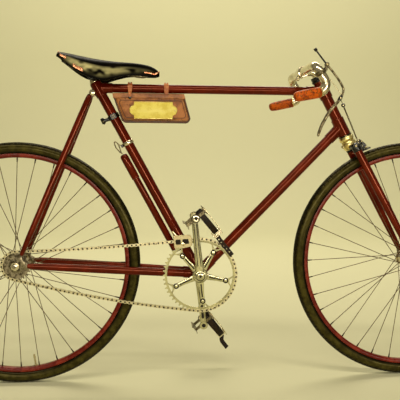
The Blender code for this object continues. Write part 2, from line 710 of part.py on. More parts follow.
# ---------------------------------------------------------------- pump and seat tube fittings
PUMP_RADIUS = 0.010
PUMP_HANDLE_RADIUS = 0.0118
PUMP_BEHIND = SEAT_TUBE_RADIUS + LUG_WALL + GAP + PUMP_HANDLE_RADIUS + 0.0005
PUMP_FOOT = 0.094
PUMP_HANDLE = 0.332
PUMP_TOP = 0.411
BAND_RADIUS = SEAT_TUBE_RADIUS + GAP + 0.0022


def beside_seat_tube(up, behind=0.0, right=0.0):
    return BRACKET + SEAT_DIRECTION * up + BEHIND_SEAT_TUBE * behind - Y_AXIS * right


def band(up, length):
    """A clip's band round the seat tube."""
    return sleeve("band", beside_seat_tube(up - length / 2), beside_seat_tube(up + length / 2),
                  SEAT_TUBE_RADIUS + GAP, BAND_RADIUS)


def pump():
    barrel = rod("barrel", beside_seat_tube(PUMP_FOOT, PUMP_BEHIND),
                 beside_seat_tube(PUMP_HANDLE - GAP, PUMP_BEHIND), PUMP_RADIUS, sides=18)
    done(barrel, "pump_barrel", bicycle, "enamel")
    profile = (
        # radius, height up the handle
        (0, 0), (0.0105, 0), (PUMP_HANDLE_RADIUS, 0.004), (PUMP_HANDLE_RADIUS, 0.070),
        (0.0095, PUMP_TOP - PUMP_HANDLE), (0, PUMP_TOP - PUMP_HANDLE),
    )
    handle = turned("handle", profile, beside_seat_tube(PUMP_HANDLE, PUMP_BEHIND), SEAT_DIRECTION,
                    steps=20, hollow=False)
    done(handle, "pump_handle", bicycle, "enamel")

    hook_up = PUMP_TOP + 0.022
    wire = smooth_path((
        beside_seat_tube(hook_up, BAND_RADIUS - 0.001),
        beside_seat_tube(hook_up + 0.004, PUMP_BEHIND + 0.008),
        beside_seat_tube(hook_up - 0.004, PUMP_BEHIND + 0.016),
        beside_seat_tube(hook_up - 0.014, PUMP_BEHIND + 0.006),
        beside_seat_tube(PUMP_TOP + GAP + 0.0018, PUMP_BEHIND - 0.001),
    ), 4)
    hook = united(band(hook_up, 0.015), bar("wire", wire, (0.0018, 0.0018), sides=6))
    done(hook, "pump_hook", bicycle, "chrome")

    foot = PUMP_FOOT - GAP - 0.005
    peg = rod("peg", beside_seat_tube(foot, SEAT_TUBE_RADIUS + GAP),
              beside_seat_tube(foot, PUMP_BEHIND + 0.004), 0.005, sides=12)
    done(peg, "pump_peg", bicycle, "steel")


CLIP_UP = 0.519


def seat_tube_clip():
    """A round clip on the seat tube, with a boss on the right and a knob behind."""
    clip = united(
        band(CLIP_UP, 0.013),
        rod("boss", beside_seat_tube(CLIP_UP, 0, BAND_RADIUS - 0.001),
            beside_seat_tube(CLIP_UP, 0, BAND_RADIUS + 0.008), 0.007, sides=16),
        rod("arm", beside_seat_tube(CLIP_UP, BAND_RADIUS - 0.001, 0),
            beside_seat_tube(CLIP_UP + 0.003, 0.033, 0), 0.0045, sides=12),
        rod("knob", beside_seat_tube(CLIP_UP - 0.004, 0.029, 0),
            beside_seat_tube(CLIP_UP + 0.010, 0.031, 0), 0.0062, sides=12))
    done(clip, "seat_tube_clip", bicycle, "black")


# ---------------------------------------------------------------- chain and front changer
UPPER_SAG = 0.006
LOWER_SAG = 0.010


def chain_path():
    """Closed loop round the chainring and the sprocket, with a slack run above and below."""
    lean = atan2(BRACKET.z, BRACKET.x)
    spread = asin((RING_RADIUS - SPROCKET_RADIUS) / BRACKET.xz.length)
    upper = lean + pi / 2 + spread
    lower = lean - pi / 2 - spread
    points = []

    def arc(centre, radius, start, end, steps):
        for i in range(steps + 1):
            angle = start + (end - start) * i / steps
            points.append((centre.x + radius * cos(angle), centre.z + radius * sin(angle)))

    arc(BRACKET, RING_RADIUS, lower, upper, 22)
    begin = points[-1]
    end = (SPROCKET_RADIUS * cos(upper), SPROCKET_RADIUS * sin(upper))
    slack(points, begin, end, UPPER_SAG)
    arc(Vector((0, 0, 0)), SPROCKET_RADIUS, upper, lower + 2 * pi, 10)
    begin = points[-1]
    end = points[0]
    slack(points, begin, end, LOWER_SAG)
    return [(x, -CHAINLINE, z) for x, z in points]


def slack(points, begin, end, sag, steps=8):
    """Adds the inner points of a sagging run."""
    for i in range(1, steps):
        t = i / steps
        points.append((begin[0] + (end[0] - begin[0]) * t,
                       begin[1] + (end[1] - begin[1]) * t - sag * 4 * t * (1 - t)))


def chain():
    loop = bar("chain", chain_path(), (CHAIN_HEIGHT / 2, CHAIN_WIDTH / 2), sides=4, closed=True)
    done(loop, "chain", bicycle, "steel")


CAGE_WALL = 0.0015
CAGE_CLEAR = 0.0064             # cage plates' inner faces from the chain's middle
CAGE_OUTLINE = (
    # behind the crank axle, above it
    (0.0740, 0.0800), (0.0770, 0.1140), (0.0250, 0.1175), (0.0220, 0.0850), (0.0480, 0.0795),
)
CAGE_ARM_UP = 0.1035


def front_changer():
    """A cage over the chain on an arm from a band round the seat tube."""
    outline = [(BRACKET.x - x, BRACKET.z + z) for x, z in CAGE_OUTLINE]
    outer = -CHAINLINE - CAGE_CLEAR
    inner = -CHAINLINE + CAGE_CLEAR
    rear_top, front_top = outline[1], outline[2]
    roof = ((rear_top[0] + 0.001, rear_top[1] - 0.0022), (rear_top[0] + 0.001, rear_top[1] - 0.0007),
            (front_top[0] - 0.001, front_top[1] - 0.0007), (front_top[0] - 0.001, front_top[1] - 0.0022))
    arm = beside_seat_tube(CAGE_ARM_UP)
    cage = united(
        plate("outer", outline, outer - CAGE_WALL, outer),
        plate("inner", outline, inner, inner + CAGE_WALL),
        plate("roof", roof, outer - CAGE_WALL / 2, inner + CAGE_WALL / 2),
        rod("arm", (arm.x, inner + CAGE_WALL / 2, arm.z), (arm.x, -BAND_RADIUS + 0.001, arm.z), 0.005,
            sides=12),
        band(CAGE_ARM_UP, 0.012))
    done(cage, "front_changer", bicycle, "alloy")


# ---------------------------------------------------------------- wheels
WHEEL_STEPS = 48


def wheel(prefix, parent, flanges, hub_ends):
    """Tyre, rim and a spoked hub; flanges and hub_ends are distances to the right and left."""
    mid = WHEEL_RADIUS - TYRE_DEPTH / 2
    tread = [(mid + TYRE_DEPTH / 2 * cos(2 * pi * i / 10), TYRE_WIDTH / 2 * sin(2 * pi * i / 10))
             for i in range(10)]
    done(turned("tyre", tread, steps=WHEEL_STEPS), prefix + "_tyre", parent, "rubber")
    half = RIM_WIDTH / 2
    hoop = (
        # radius, distance from the middle
        (RIM_OUTER, -half * 0.86), (RIM_OUTER - 0.003, -half), (RIM_INNER + 0.004, -half * 0.86),
        (RIM_INNER, -half * 0.40), (RIM_INNER, half * 0.40), (RIM_INNER + 0.004, half * 0.86),
        (RIM_OUTER - 0.003, half), (RIM_OUTER, half * 0.86),
    )
    done(turned("rim", hoop, steps=WHEEL_STEPS), prefix + "_rim", parent, "rim_red")

    right, left = flanges
    right_end, left_end = hub_ends
    profile = [(AXLE_RADIUS + RUNNING, -right_end), (0.011, -right_end)]
    profile += flange_profile(-right, -1) + flange_profile(left, 1)
    profile += [(0.011, left_end), (AXLE_RADIUS + RUNNING, left_end)]
    hub = turned("hub", profile, steps=18)
    spokes = wheel_spokes(right, left)
    done(united(hub, spokes), prefix + "_hub", parent, "chrome")


FLANGE_RADIUS = 0.025
FLANGE_THICK = 0.004
FLANGE_HOLES = 0.0215


def flange_profile(place, side):
    """Outline round one hub flange, in the order from right to left."""
    outer = place + side * FLANGE_THICK / 2
    inner = place - side * FLANGE_THICK / 2
    steps = [(0.013, outer + side * 0.003), (0.014, outer), (FLANGE_RADIUS, outer),
             (FLANGE_RADIUS, inner), (0.014, inner), (0.0115, inner - side * 0.006)]
    return steps if side < 0 else steps[::-1]


def wheel_spokes(right, left):
    """Crossed spokes, half to each flange, heads alternating inside and outside the flange."""
    bm = bmesh.new()
    each = SPOKE_COUNT // 2
    step = 2 * pi / each
    for place, shift in ((-right, 0.0), (left, 0.5)):
        outward = 1 if place > 0 else -1
        for i in range(each):
            leading = i % 2
            at_hub = (i + shift) * step
            at_rim = at_hub + (-3 if leading else 3) * step
            side = place + outward * (0.0028 if leading else -0.0028)
            start = wheel_point(FLANGE_HOLES, at_hub, side)
            end = wheel_point(RIM_INNER * cos(pi / WHEEL_STEPS) - GAP, at_rim, outward * 0.003)
            run = (end - start).normalized()
            sink = start - run * 0.002 - Y_AXIS * (side - place) * 0.4
            rings = [section(sink, run, Y_AXIS, SPOKE_RADIUS, SPOKE_RADIUS, 5),
                     section(end, run, Y_AXIS, SPOKE_RADIUS, SPOKE_RADIUS, 5)]
            skin(bm, rings)
    return solid("spokes", bm)


def wheel_point(radius, angle, side):
    return Vector((radius * cos(angle), side, radius * sin(angle)))


REAR_FLANGES = (0.028, 0.034)
REAR_HUB_ENDS = (0.036, 0.052)
FRONT_FLANGES = (0.033, 0.033)
FRONT_HUB_ENDS = (0.0425, 0.0425)


def rear_sprocket():
    """Freewheel body and a toothless disc inside the chain loop."""
    disc = SPROCKET_RADIUS - CHAIN_HEIGHT / 2 - 0.0008
    inner = -REAR_HUB_ENDS[0] - GAP
    outer = -CHAINLINE - 0.005
    profile = (
        (AXLE_RADIUS + RUNNING, inner), (0.021, inner), (0.021, -CHAINLINE + 0.0016),
        (disc, -CHAINLINE + 0.0016), (disc, -CHAINLINE - 0.0016), (0.021, -CHAINLINE - 0.0016),
        (0.019, outer), (AXLE_RADIUS + RUNNING, outer),
    )
    done(turned("sprocket", profile, steps=32), "rear_sprocket", rear_wheel_axis, "steel")


# ---------------------------------------------------------------- cranks and pedals
CRANK_AXLE_RADIUS = 0.0085
CRANK_BOSS_RADIUS = 0.0165
AXLE_END = CRANK_INNER + 0.008
RING_THICK = 0.0025
RING_DISC = RING_RADIUS - CHAIN_HEIGHT / 2 - 0.002
RING_BAND = 0.0040
SPIDER_FIRST = CRANK_ANGLE + pi / SPIDER_ARMS


def polar(radius, angle, side=0.0):
    return Vector((radius * cos(angle), side, radius * sin(angle)))


def chainring():
    low = -CHAINLINE - RING_THICK / 2
    high = -CHAINLINE + RING_THICK / 2
    profile = ((RING_DISC, low), (RING_DISC, high), (RING_DISC - RING_BAND, high),
               (RING_DISC - RING_BAND, low))
    ring = turned("ring", profile, steps=48)
    tabs = []
    for i in range(SPIDER_ARMS):
        angle = SPIDER_FIRST + 2 * pi * i / SPIDER_ARMS
        path = (polar(SPIDER_RADIUS - 0.006, angle, -CHAINLINE),
                polar(SPIDER_RADIUS + 0.006, angle, -CHAINLINE),
                polar(RING_DISC - RING_BAND + 0.002, angle, -CHAINLINE))
        half = RING_THICK / 2 - GAP
        tabs.append(bar("tab", path, [(0.006, half), (0.006, half), (0.013, half)], sides=4))
    done(united(ring, *tabs), "chainring", crank_axis, "alloy")


def crank_arm(side, arm_end):
    """Boss, tapering arm and pedal eye of one crank, with a blind hole for the axle."""
    inner = CRANK_INNER * side
    outer = (CRANK_INNER + CRANK_THICK) * side
    middle = (inner + outer) / 2
    run = arm_end.normalized()
    half = CRANK_THICK / 2
    arm = bar("arm", (Vector((0, middle, 0)), arm_end + Y_AXIS * middle - run * 0.006),
              [(0.0135, half), (0.0095, half)], sides=4)
    boss_inner = inner - side * (0.009 if side < 0 else 0.003)
    boss = rod("boss", (0, boss_inner, 0), (0, outer + side * 0.002, 0), CRANK_BOSS_RADIUS, sides=24)
    eye = rod("eye", arm_end + Y_AXIS * inner, arm_end + Y_AXIS * outer, 0.0125, sides=20)
    return united(arm, boss, eye)


def cranks():
    right = crank_arm(-1, PEDAL_ARM)
    spider_face = CHAINLINE + RING_THICK / 2 + GAP
    arms = []
    for i in range(SPIDER_ARMS):
        angle = SPIDER_FIRST + 2 * pi * i / SPIDER_ARMS
        middle = -(spider_face + 0.0033)
        path = (polar(0.008, angle, middle), polar(SPIDER_RADIUS + 0.005, angle, middle))
        arms.append(bar("spider", path, [(0.009, 0.0033), (0.0055, 0.0033)], sides=4))
    right = united(right, *arms)
    hole = AXLE_END + GAP
    right = cut(right, rod("hole", (0, 0, 0), (0, -hole, 0), CRANK_AXLE_RADIUS + GAP))
    done(right, "crank_right", crank_axis, "alloy")
    left = cut(crank_arm(1, -PEDAL_ARM), rod("hole", (0, 0, 0), (0, hole, 0), CRANK_AXLE_RADIUS + GAP))
    done(left, "crank_left", crank_axis, "alloy")
    axle = rod("axle", (0, -AXLE_END, 0), (0, AXLE_END, 0), CRANK_AXLE_RADIUS)
    done(axle, "crank_axle", crank_axis, "steel")


PEDAL_PLATE = 0.002
STRAP_THICK = 0.00125           # half thickness
STRAP_AHEAD = 0.0185
STRAP_TAILS = {
    # ahead of the pedal's axle, below it
    "right": (0.0115, 0.147),
    "left": (0.0040, 0.119),
}


def pedal(name, side):
    """Barrel and four cage plates with a steel toe clip; a leather strap hangs below them."""
    parent = pedal_axes[name]
    inner = PEDAL_OUT + 0.012
    outer = inner + PEDAL_WIDTH
    middle = side * (inner + outer) / 2
    half = PEDAL_LENGTH / 2
    shaft = rod("shaft", (0, side * (PEDAL_OUT + GAP), 0), (0, side * (inner + 0.001), 0), 0.007, sides=12)
    barrel = rod("barrel", (0, side * inner, 0), (0, side * (outer + 0.004), 0), 0.0095, sides=16)
    plates = []
    for place in (inner, outer - PEDAL_PLATE):
        low, high = sorted((side * place, side * (place + PEDAL_PLATE)))
        outline = rounded(((-half, -0.010), (half, -0.010), (half, 0.010), (-half, 0.010)), 0.004, 2)
        plates.append(plate("end", outline, low, high))
    low, high = sorted((side * (inner + 0.001), side * (outer - 0.001)))
    for ahead in (-half, half - PEDAL_PLATE):
        outline = ((ahead, -0.0125), (ahead + PEDAL_PLATE, -0.0125), (ahead + PEDAL_PLATE, 0.0125),
                   (ahead, 0.0125))
        plates.append(plate("side", outline, low, high))
    clip_path = smooth_path(((half - 0.0005, middle, 0.006), (half + 0.0005, middle, -0.014),
                             (half + 0.0005, middle, -0.046), (half - 0.0015, middle, -0.082)), 2)
    clip = bar("clip", clip_path, (0.009, 0.0011), across=Vector((1, 0, 0)), sides=4)
    done(united(shaft, barrel, clip, *plates), "pedal_" + name, parent, "steel")

    edge = PEDAL_PLATE + 2 * GAP + STRAP_THICK
    leg_in = side * (inner + edge)
    leg_out = side * (outer - edge)
    ahead = STRAP_AHEAD
    loop = smooth_path((
        (ahead, leg_in, 0.008), (ahead, leg_in, -0.018), (ahead, leg_in + side * 0.004, -0.040),
        (ahead, middle - side * 0.016, -0.066), (ahead, middle, -0.073),
        (ahead, middle + side * 0.016, -0.066), (ahead, leg_out - side * 0.004, -0.040),
        (ahead, leg_out, -0.018), (ahead, leg_out, 0.008),
    ), 3)
    strap = bar("loop", loop, (STRAP_THICK, 0.0085), across=Vector((1, 0, 0)), sides=4)
    tail_ahead, tail_below = STRAP_TAILS[name]
    tail_path = ((ahead - 0.002, middle, -0.0725), (tail_ahead + 0.001, middle - side * 0.001, -0.086),
                 (tail_ahead, middle - side * 0.003, -tail_below))
    tail = bar("tail", tail_path, (STRAP_THICK * 0.9, 0.0065), across=Vector((1, 0, 0)), sides=4)
    done(united(strap, tail), "pedal_strap_" + name, parent, "strap_leather")


# ---------------------------------------------------------------- fork and steering
CROWN_LOW = -0.023
SHOULDER_LOW = -0.0225
BLADE_AHEAD = 0.005
BLADE_TOP_APART = 0.040
FORK_END_THICK = 0.0045
FORK_END_APART = FRONT_SPACING / 2 + FORK_END_THICK / 2
LOCKNUT_TOP = HEAD_TOP + 0.017


def fork_crown():
    """Crown with its two shoulders, and the steerer that runs up the head tube."""
    profile = (
        (0, CROWN_LOW), (0.017, CROWN_LOW), (0.0205, -0.018), (0.0215, -0.008), (0.0205, 0.001),
        (0.0185, 0.0045), (STEERER_RADIUS, 0.0045), (STEERER_RADIUS, LOCKNUT_TOP), (0, LOCKNUT_TOP),
    )
    middle = turned("crown", profile, (0, 0, 0), Vector((0, 0, 1)), steps=28, hollow=False)
    shoulders = bar("shoulders", (
        (BLADE_AHEAD, -BLADE_TOP_APART - 0.012, -0.014), (BLADE_AHEAD, -BLADE_TOP_APART, -0.012),
        (0.001, 0, -0.008), (BLADE_AHEAD, BLADE_TOP_APART, -0.012),
        (BLADE_AHEAD, BLADE_TOP_APART + 0.012, -0.014),
    ), [(0.006, 0.009), (0.0105, 0.015), (0.0125, 0.0165), (0.0105, 0.015), (0.006, 0.009)],
        across=Vector((1, 0, 0)), sides=16)
    done(united(middle, shoulders), "fork_crown", steering, "brass")

    cup = ((STEERER_RADIUS + RUNNING, 0.0052), (0.0185, 0.0052), (0.0215, 0.008), (0.0220, 0.013),
           (0.0205, HEAD_TUBE_BELOW - 0.004), (0.0175, HEAD_TUBE_BELOW - GAP),
           (STEERER_RADIUS + RUNNING, HEAD_TUBE_BELOW - GAP))
    lower = turned("cup", cup, CROWN, STEER_UP, steps=28)
    done(lower, "lower_headset", bicycle, "brass")

    nut = ((STEERER_RADIUS + GAP, HEAD_TOP + GAP), (0.0185, HEAD_TOP + GAP), (0.0195, HEAD_TOP + 0.006),
           (0.0165, HEAD_TOP + 0.008), (0.0165, LOCKNUT_TOP), (STEERER_RADIUS + GAP, LOCKNUT_TOP))
    locknut = turned("nut", nut, (0, 0, 0), Vector((0, 0, 1)), steps=24)
    done(locknut, "headset_locknut", steering, "black")


def fork_blades():
    axle = Vector((FORK_RAKE, 0, -FORK_LENGTH))
    for name, side in SIDES:
        top = Vector((BLADE_AHEAD, side * BLADE_TOP_APART, SHOULDER_LOW - 2 * GAP))
        foot = Vector((FORK_RAKE + 0.004, side * FORK_END_APART, axle.z + 0.022))
        stations = [top, top.lerp(foot, 0.55), foot]
        sizes = [(0.0120, 0.0090), (0.0120, 0.0085), (0.0075, 0.0065)]
        # the oval's long side runs forwards
        blade = bar("blade", stations, sizes)
        inside = side * FRONT_SPACING / 2
        outside = inside + side * FORK_END_THICK
        low, high = sorted((inside, outside))
        outline = [(axle.x + 0.014 * cos(radians(a)), axle.z + 0.014 * sin(radians(a)))
                   for a in range(150, 391, 24)]
        outline += [(axle.x + 0.011, foot.z + 0.006), (axle.x - 0.003, foot.z + 0.006)]
        end = plate("end", outline, low, high)
        joined = united(blade, end)
        hole = rod("hole", axle + Y_AXIS * (inside - side * 0.01), axle + Y_AXIS * (outside + side * 0.01),
                   AXLE_RADIUS + GAP)
        done(cut(joined, hole), "fork_blade_" + name, steering, "enamel")


BAR_CENTRE = Vector((-0.0320, 0, HEAD_TOP + 0.0460))
GRIP_FRONT = BAR_CENTRE + Vector((-0.0250, BAR_HALF_WIDTH + 0.0015, -0.0697))
GRIP_REAR = BAR_CENTRE + Vector((-0.0965, BAR_HALF_WIDTH + 0.0280, -0.0500))
STEM_HALF_WIDTH = 0.019


def handlebar():
    half = (
        # ahead, out, above, in the fork's own frame
        (BAR_CENTRE.x, 0.090, BAR_CENTRE.z),
        (BAR_CENTRE.x, BAR_HALF_WIDTH - 0.040, BAR_CENTRE.z),
        (BAR_CENTRE.x + 0.001, BAR_HALF_WIDTH - 0.014, BAR_CENTRE.z - 0.004),
        (BAR_CENTRE.x + 0.003, BAR_HALF_WIDTH - 0.002, BAR_CENTRE.z - 0.017),
        (BAR_CENTRE.x + 0.006, BAR_HALF_WIDTH, BAR_CENTRE.z - 0.037),
        (BAR_CENTRE.x + 0.0070, BAR_HALF_WIDTH, BAR_CENTRE.z - 0.052),
        (BAR_CENTRE.x + 0.0035, BAR_HALF_WIDTH, BAR_CENTRE.z - 0.0620),
        (BAR_CENTRE.x - 0.0070, BAR_HALF_WIDTH, BAR_CENTRE.z - 0.0700),
    )
    run = (GRIP_REAR - GRIP_FRONT).normalized()
    ends = (tuple(GRIP_FRONT - run * 0.009), tuple(GRIP_FRONT - run * 0.005), tuple(GRIP_FRONT - run * GAP))
    half += ends
    route = [(x, -y, z) for x, y, z in reversed(half)] + [tuple(BAR_CENTRE)] + list(half)
    curve = bpy.data.curves.new("bar", "CURVE")
    curve.dimensions = "3D"
    curve.bevel_depth = BAR_RADIUS
    curve.bevel_resolution = 3
    curve.use_fill_caps = True
    spline = curve.splines.new("POLY")
    path = smooth_path(route, 3)
    spline.points.add(len(path) - 1)
    for point, place in zip(spline.points, path):
        point.co = (*place, 1)
    tube = bpy.data.objects.new("handlebar", curve)
    bpy.context.collection.objects.link(tube)
    curve.materials.append(finish("handlebar", *FINISHES["chrome"]))
    tube.parent = steering

    length = (GRIP_REAR - GRIP_FRONT).length
    profile = (
        # radius, distance from the grip's front
        (0, 0), (GRIP_RADIUS - 0.001, 0), (GRIP_RADIUS, 0.004), (GRIP_RADIUS - 0.0005, length * 0.5),
        (GRIP_RADIUS - 0.0015, length * 0.85), (GRIP_RADIUS - 0.005, length - 0.003), (0, length),
    )
    for name, side in SIDES:
        front = on_side(GRIP_FRONT, side)
        rear = on_side(GRIP_REAR, side)
        grip = turned("grip", profile, front, (rear - front).normalized(), steps=18, hollow=False)
        done(grip, "grip_" + name, steering, "cork")


def stem():
    """Quill, neck and the clamp round the handlebar's middle."""
    base = Vector((0, 0, LOCKNUT_TOP + 2 * GAP))
    neck_path = [base, base + Vector((0, 0, 0.005))]
    neck_path += smooth_path((base + Vector((-0.002, 0, 0.013)), BAR_CENTRE + Vector((0.020, 0, -0.009)), BAR_CENTRE), 2)
    neck = bar("neck", neck_path, [(0.0110, 0.0110)] * 3 + [(0.0115, 0.0110)] * 2 + [(0.0125, 0.0120)] * 2,
               sides=14)
    outer = BAR_RADIUS + 0.004
    clamp = rod("clamp", BAR_CENTRE - Y_AXIS * STEM_HALF_WIDTH, BAR_CENTRE + Y_AXIS * STEM_HALF_WIDTH, outer)
    bore = rod("bore", BAR_CENTRE - Y_AXIS * 0.05, BAR_CENTRE + Y_AXIS * 0.05, BAR_RADIUS + GAP)
    done(cut(united(neck, clamp), bore), "stem", steering, "chrome")


LEVER_OUT = BAR_HALF_WIDTH
LEVER_BOLT = BAR_CENTRE + Vector((0.0265, -LEVER_OUT, -0.0210))
LEVER_BAND_BELOW = 0.0320       # lever's clamp on the bar's drop, below the bar's middle
LEVER_ROUTE = (
    # ahead of the handlebar's middle, above it, from the bolt to the blade's tip
    (0.0265, -0.0210), (0.0290, -0.0490), (0.0340, -0.0780), (0.0360, -0.0980), (0.0270, -0.1150),
    (0.0090, -0.1270), (-0.0200, -0.1410), (-0.0540, -0.1620), (-0.0880, -0.1910),
)
LEVER_ELBOW = BAR_CENTRE + Vector((0.0345, -LEVER_OUT, -0.1030))


def brake_lever():
    """Clamp on the right drop, curved arm and blade, with the adjuster above its bolt."""
    bar_here = BAR_CENTRE + Vector((0.0050, -LEVER_OUT + 0.0005, -LEVER_BAND_BELOW))
    along = Vector((0.13, 0, -1)).normalized()
    clamp = sleeve("clamp", bar_here - along * 0.006, bar_here + along * 0.006,
                   BAR_RADIUS + 3 * GAP, BAR_RADIUS + 0.0034)
    ear = bar("ear", (bar_here + Vector((BAR_RADIUS + 0.0050, 0, 0.001)), LEVER_BOLT), (0.004, 0.004),
              sides=4)
    bolt = rod("bolt", LEVER_BOLT - Y_AXIS * 0.009, LEVER_BOLT + Y_AXIS * 0.008, 0.006, sides=14)
    path = smooth_path([BAR_CENTRE + Vector((x, -LEVER_OUT, z)) for x, z in LEVER_ROUTE], 3)
    slim = [(0.0034, 0.0045)] * 9 + [(0.0036, 0.0055)] * 3 + [(0.0042, 0.0065)] * (len(path) - 12)
    arm = bar("arm", path, slim, sides=10)
    adjuster = united(
        rod("screw", LEVER_BOLT, LEVER_BOLT + Vector((-0.0155, 0, 0.056)), 0.0022, sides=8),
        rod("knob", LEVER_BOLT + Vector((-0.0135, 0, 0.050)), LEVER_BOLT + Vector((-0.0172, 0, 0.0625)),
            0.0046, sides=12))
    done(united(arm, clamp, ear, bolt, adjuster), "brake_lever", steering, "chrome")


PLUNGER_AHEAD = 0.0290
SPOON_INNER = WHEEL_RADIUS + 0.0052
CABLE_RADIUS = 0.0023
CABLE_END = Vector((PLUNGER_AHEAD, 0, 0.018))


def brake_cable():
    """The cable from the lever's elbow down to the plunger, held at both ends."""
    start = LEVER_ELBOW + Vector((0, 0.0078 + GAP, 0))
    end = CABLE_END + Vector((0, 0, 2 * GAP))
    route = [start]
    for share, bow in ((0.15, 0.003), (0.42, 0.008), (0.70, 0.007), (0.92, 0.002)):
        route.append(start.lerp(end, share) + Vector((bow, 0, 0)))
    route += [end + Vector((0, 0, 0.008)), end]
    curve = bpy.data.curves.new("brake_cable", "CURVE")
    curve.dimensions = "3D"
    curve.bevel_depth = CABLE_RADIUS
    curve.bevel_resolution = 2
    curve.use_fill_caps = True
    spline = curve.splines.new("POLY")
    path = smooth_path(route, 6)
    spline.points.add(len(path) - 1)
    for point, place in zip(spline.points, path):
        point.co = (*place, 1)
    cable = bpy.data.objects.new("brake_cable", curve)
    bpy.context.collection.objects.link(cable)
    curve.materials.append(finish("brake_cable", *FINISHES["steel"]))
    cable.parent = steering


def spoon_brake():
    """Plunger in its guide on the crown's front, and the curved shoe over the tyre."""
    hub = Vector((FORK_RAKE, 0, -FORK_LENGTH))
    foot_angle = atan2(sqrt(SPOON_INNER ** 2 - (PLUNGER_AHEAD - hub.x) ** 2), PLUNGER_AHEAD - hub.x)
    outline = sector(SPOON_INNER, SPOON_INNER + 0.004, foot_angle - radians(3.6), foot_angle + radians(3.2), 5)
    shoe = plate("shoe", moved(outline, hub), -0.015, 0.015)
    foot = hub + polar(SPOON_INNER + 0.002, foot_angle)
    plunger = rod("plunger", (PLUNGER_AHEAD, 0, foot.z), CABLE_END, 0.0042, sides=12)
    cross = rod("cross", (PLUNGER_AHEAD, -0.016, 0.008), (PLUNGER_AHEAD, 0.016, 0.008), 0.003, sides=10)
    face = 0.0215 + GAP
    guide = bar("guide", ((face, 0, -0.010), (PLUNGER_AHEAD + 0.006, 0, -0.010)), (0.007, 0.008), sides=4)
    done(united(shoe, plunger, cross, guide), "spoon_brake", steering, "black")


# ---------------------------------------------------------------- build
frame_tubes()
bottom_bracket()
head_tube()
seat_lug()
rear_triangle()
wheel_axle("rear_axle", rear_wheel_axis, REAR_SPACING, DROPOUT_THICK)
saddle_top()
saddle_support()
tool_bag()
pump()
seat_tube_clip()
chain()
front_changer()
wheel("rear", rear_wheel_axis, REAR_FLANGES, REAR_HUB_ENDS)
wheel("front", front_wheel_axis, FRONT_FLANGES, FRONT_HUB_ENDS)
rear_sprocket()
chainring()
cranks()
for side_name, side_sign in SIDES:
    pedal(side_name, side_sign)
fork_crown()
fork_blades()
wheel_axle("front_axle", front_wheel_axis, FRONT_SPACING, FORK_END_THICK)
handlebar()
stem()
brake_lever()
brake_cable()
spoon_brake()
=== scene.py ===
"""Looks of the vintage bicycle: every piece and finish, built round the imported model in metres."""

import json
from math import asin, atan2, cos, degrees, pi, radians, sin, sqrt, tan

import bmesh
import bpy
import numpy as np
from mathutils import Matrix, Vector


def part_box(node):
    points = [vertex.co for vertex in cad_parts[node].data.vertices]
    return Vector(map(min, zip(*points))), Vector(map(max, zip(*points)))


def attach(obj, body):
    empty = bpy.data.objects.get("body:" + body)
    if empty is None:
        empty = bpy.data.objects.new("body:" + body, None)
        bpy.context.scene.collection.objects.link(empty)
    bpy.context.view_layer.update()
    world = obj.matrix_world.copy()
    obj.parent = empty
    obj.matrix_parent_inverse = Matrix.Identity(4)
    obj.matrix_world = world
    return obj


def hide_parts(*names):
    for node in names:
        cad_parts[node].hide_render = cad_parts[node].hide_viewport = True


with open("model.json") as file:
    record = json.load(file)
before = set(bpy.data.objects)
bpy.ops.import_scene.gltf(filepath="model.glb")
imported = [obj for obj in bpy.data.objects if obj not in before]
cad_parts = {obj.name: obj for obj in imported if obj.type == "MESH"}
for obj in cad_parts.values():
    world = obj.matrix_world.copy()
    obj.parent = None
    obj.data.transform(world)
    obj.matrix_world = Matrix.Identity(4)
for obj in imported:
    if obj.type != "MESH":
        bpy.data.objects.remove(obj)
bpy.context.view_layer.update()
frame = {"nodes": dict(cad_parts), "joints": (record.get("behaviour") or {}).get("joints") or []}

# ---------------------------------------------------------------- places taken from the model
AXES = {joint["name"]: Vector(joint["pos_m"]) for joint in frame["joints"]}
REAR = AXES["rear_wheel_spin"]
FRONT = AXES["front_wheel_spin"]
BRACKET = AXES["crank_spin"]
CROWN = AXES["steering"]
AHEAD = Vector((1, 0, 0))
ACROSS = Vector((0, 1, 0))
UP = Vector((0, 0, 1))
SIDE_VIEW = Vector((1, 0, 1))
STEER_UP = Vector(next(joint["axis"] for joint in frame["joints"] if joint["name"] == "steering"))
STEER_AHEAD = ACROSS.cross(STEER_UP)
SIDES = (("right", -1), ("left", 1))


def mm(*values):
    """A pair or a table of lengths in millimetres, as metres."""
    scaled = [mm(*value) if isinstance(value, tuple) else value / 1000 for value in values]
    return scaled if isinstance(values[0], tuple) else tuple(scaled)


def past(face, *pairs):
    """A table of (radius, distance past a face), written in millimetres, as metres."""
    return [(radius / 1000, face + distance / 1000) for radius, distance in pairs]


def in_steering(ahead, out, up):
    """A place in the steering's own frame: from the crown's middle, y unchanged."""
    return CROWN + STEER_AHEAD * ahead + ACROSS * out + STEER_UP * up


def corners(name):
    """A model node's points as an array."""
    mesh = frame["nodes"][name].data
    points = np.zeros(len(mesh.vertices) * 3)
    mesh.vertices.foreach_get("co", points)
    return points.reshape(-1, 3)


def end_of(name, axis, way, depth=0.002):
    """The middle of a node's points that lie within depth of its end along an axis."""
    points = corners(name)
    along = points[:, axis] * way
    return Vector(points[along > along.max() - depth].mean(0))


def rod_of(name, towards=AHEAD):
    """Start, end and radius of a straight round node, its end on the side that towards points to."""
    points = corners(name)
    middle = points.mean(0)
    run = np.linalg.svd(points - middle, full_matrices=False)[2][0]
    run *= np.sign(run @ np.array(towards))
    along = (points - middle) @ run
    low, high = (Vector(np.unique(points[near].round(5), axis=0).mean(0))
        for near in (along < along.min() + 0.001, along > along.max() - 0.001))
    off = points - np.outer(along, run) - middle
    return low, high, float(np.linalg.norm(off, axis=1).max())


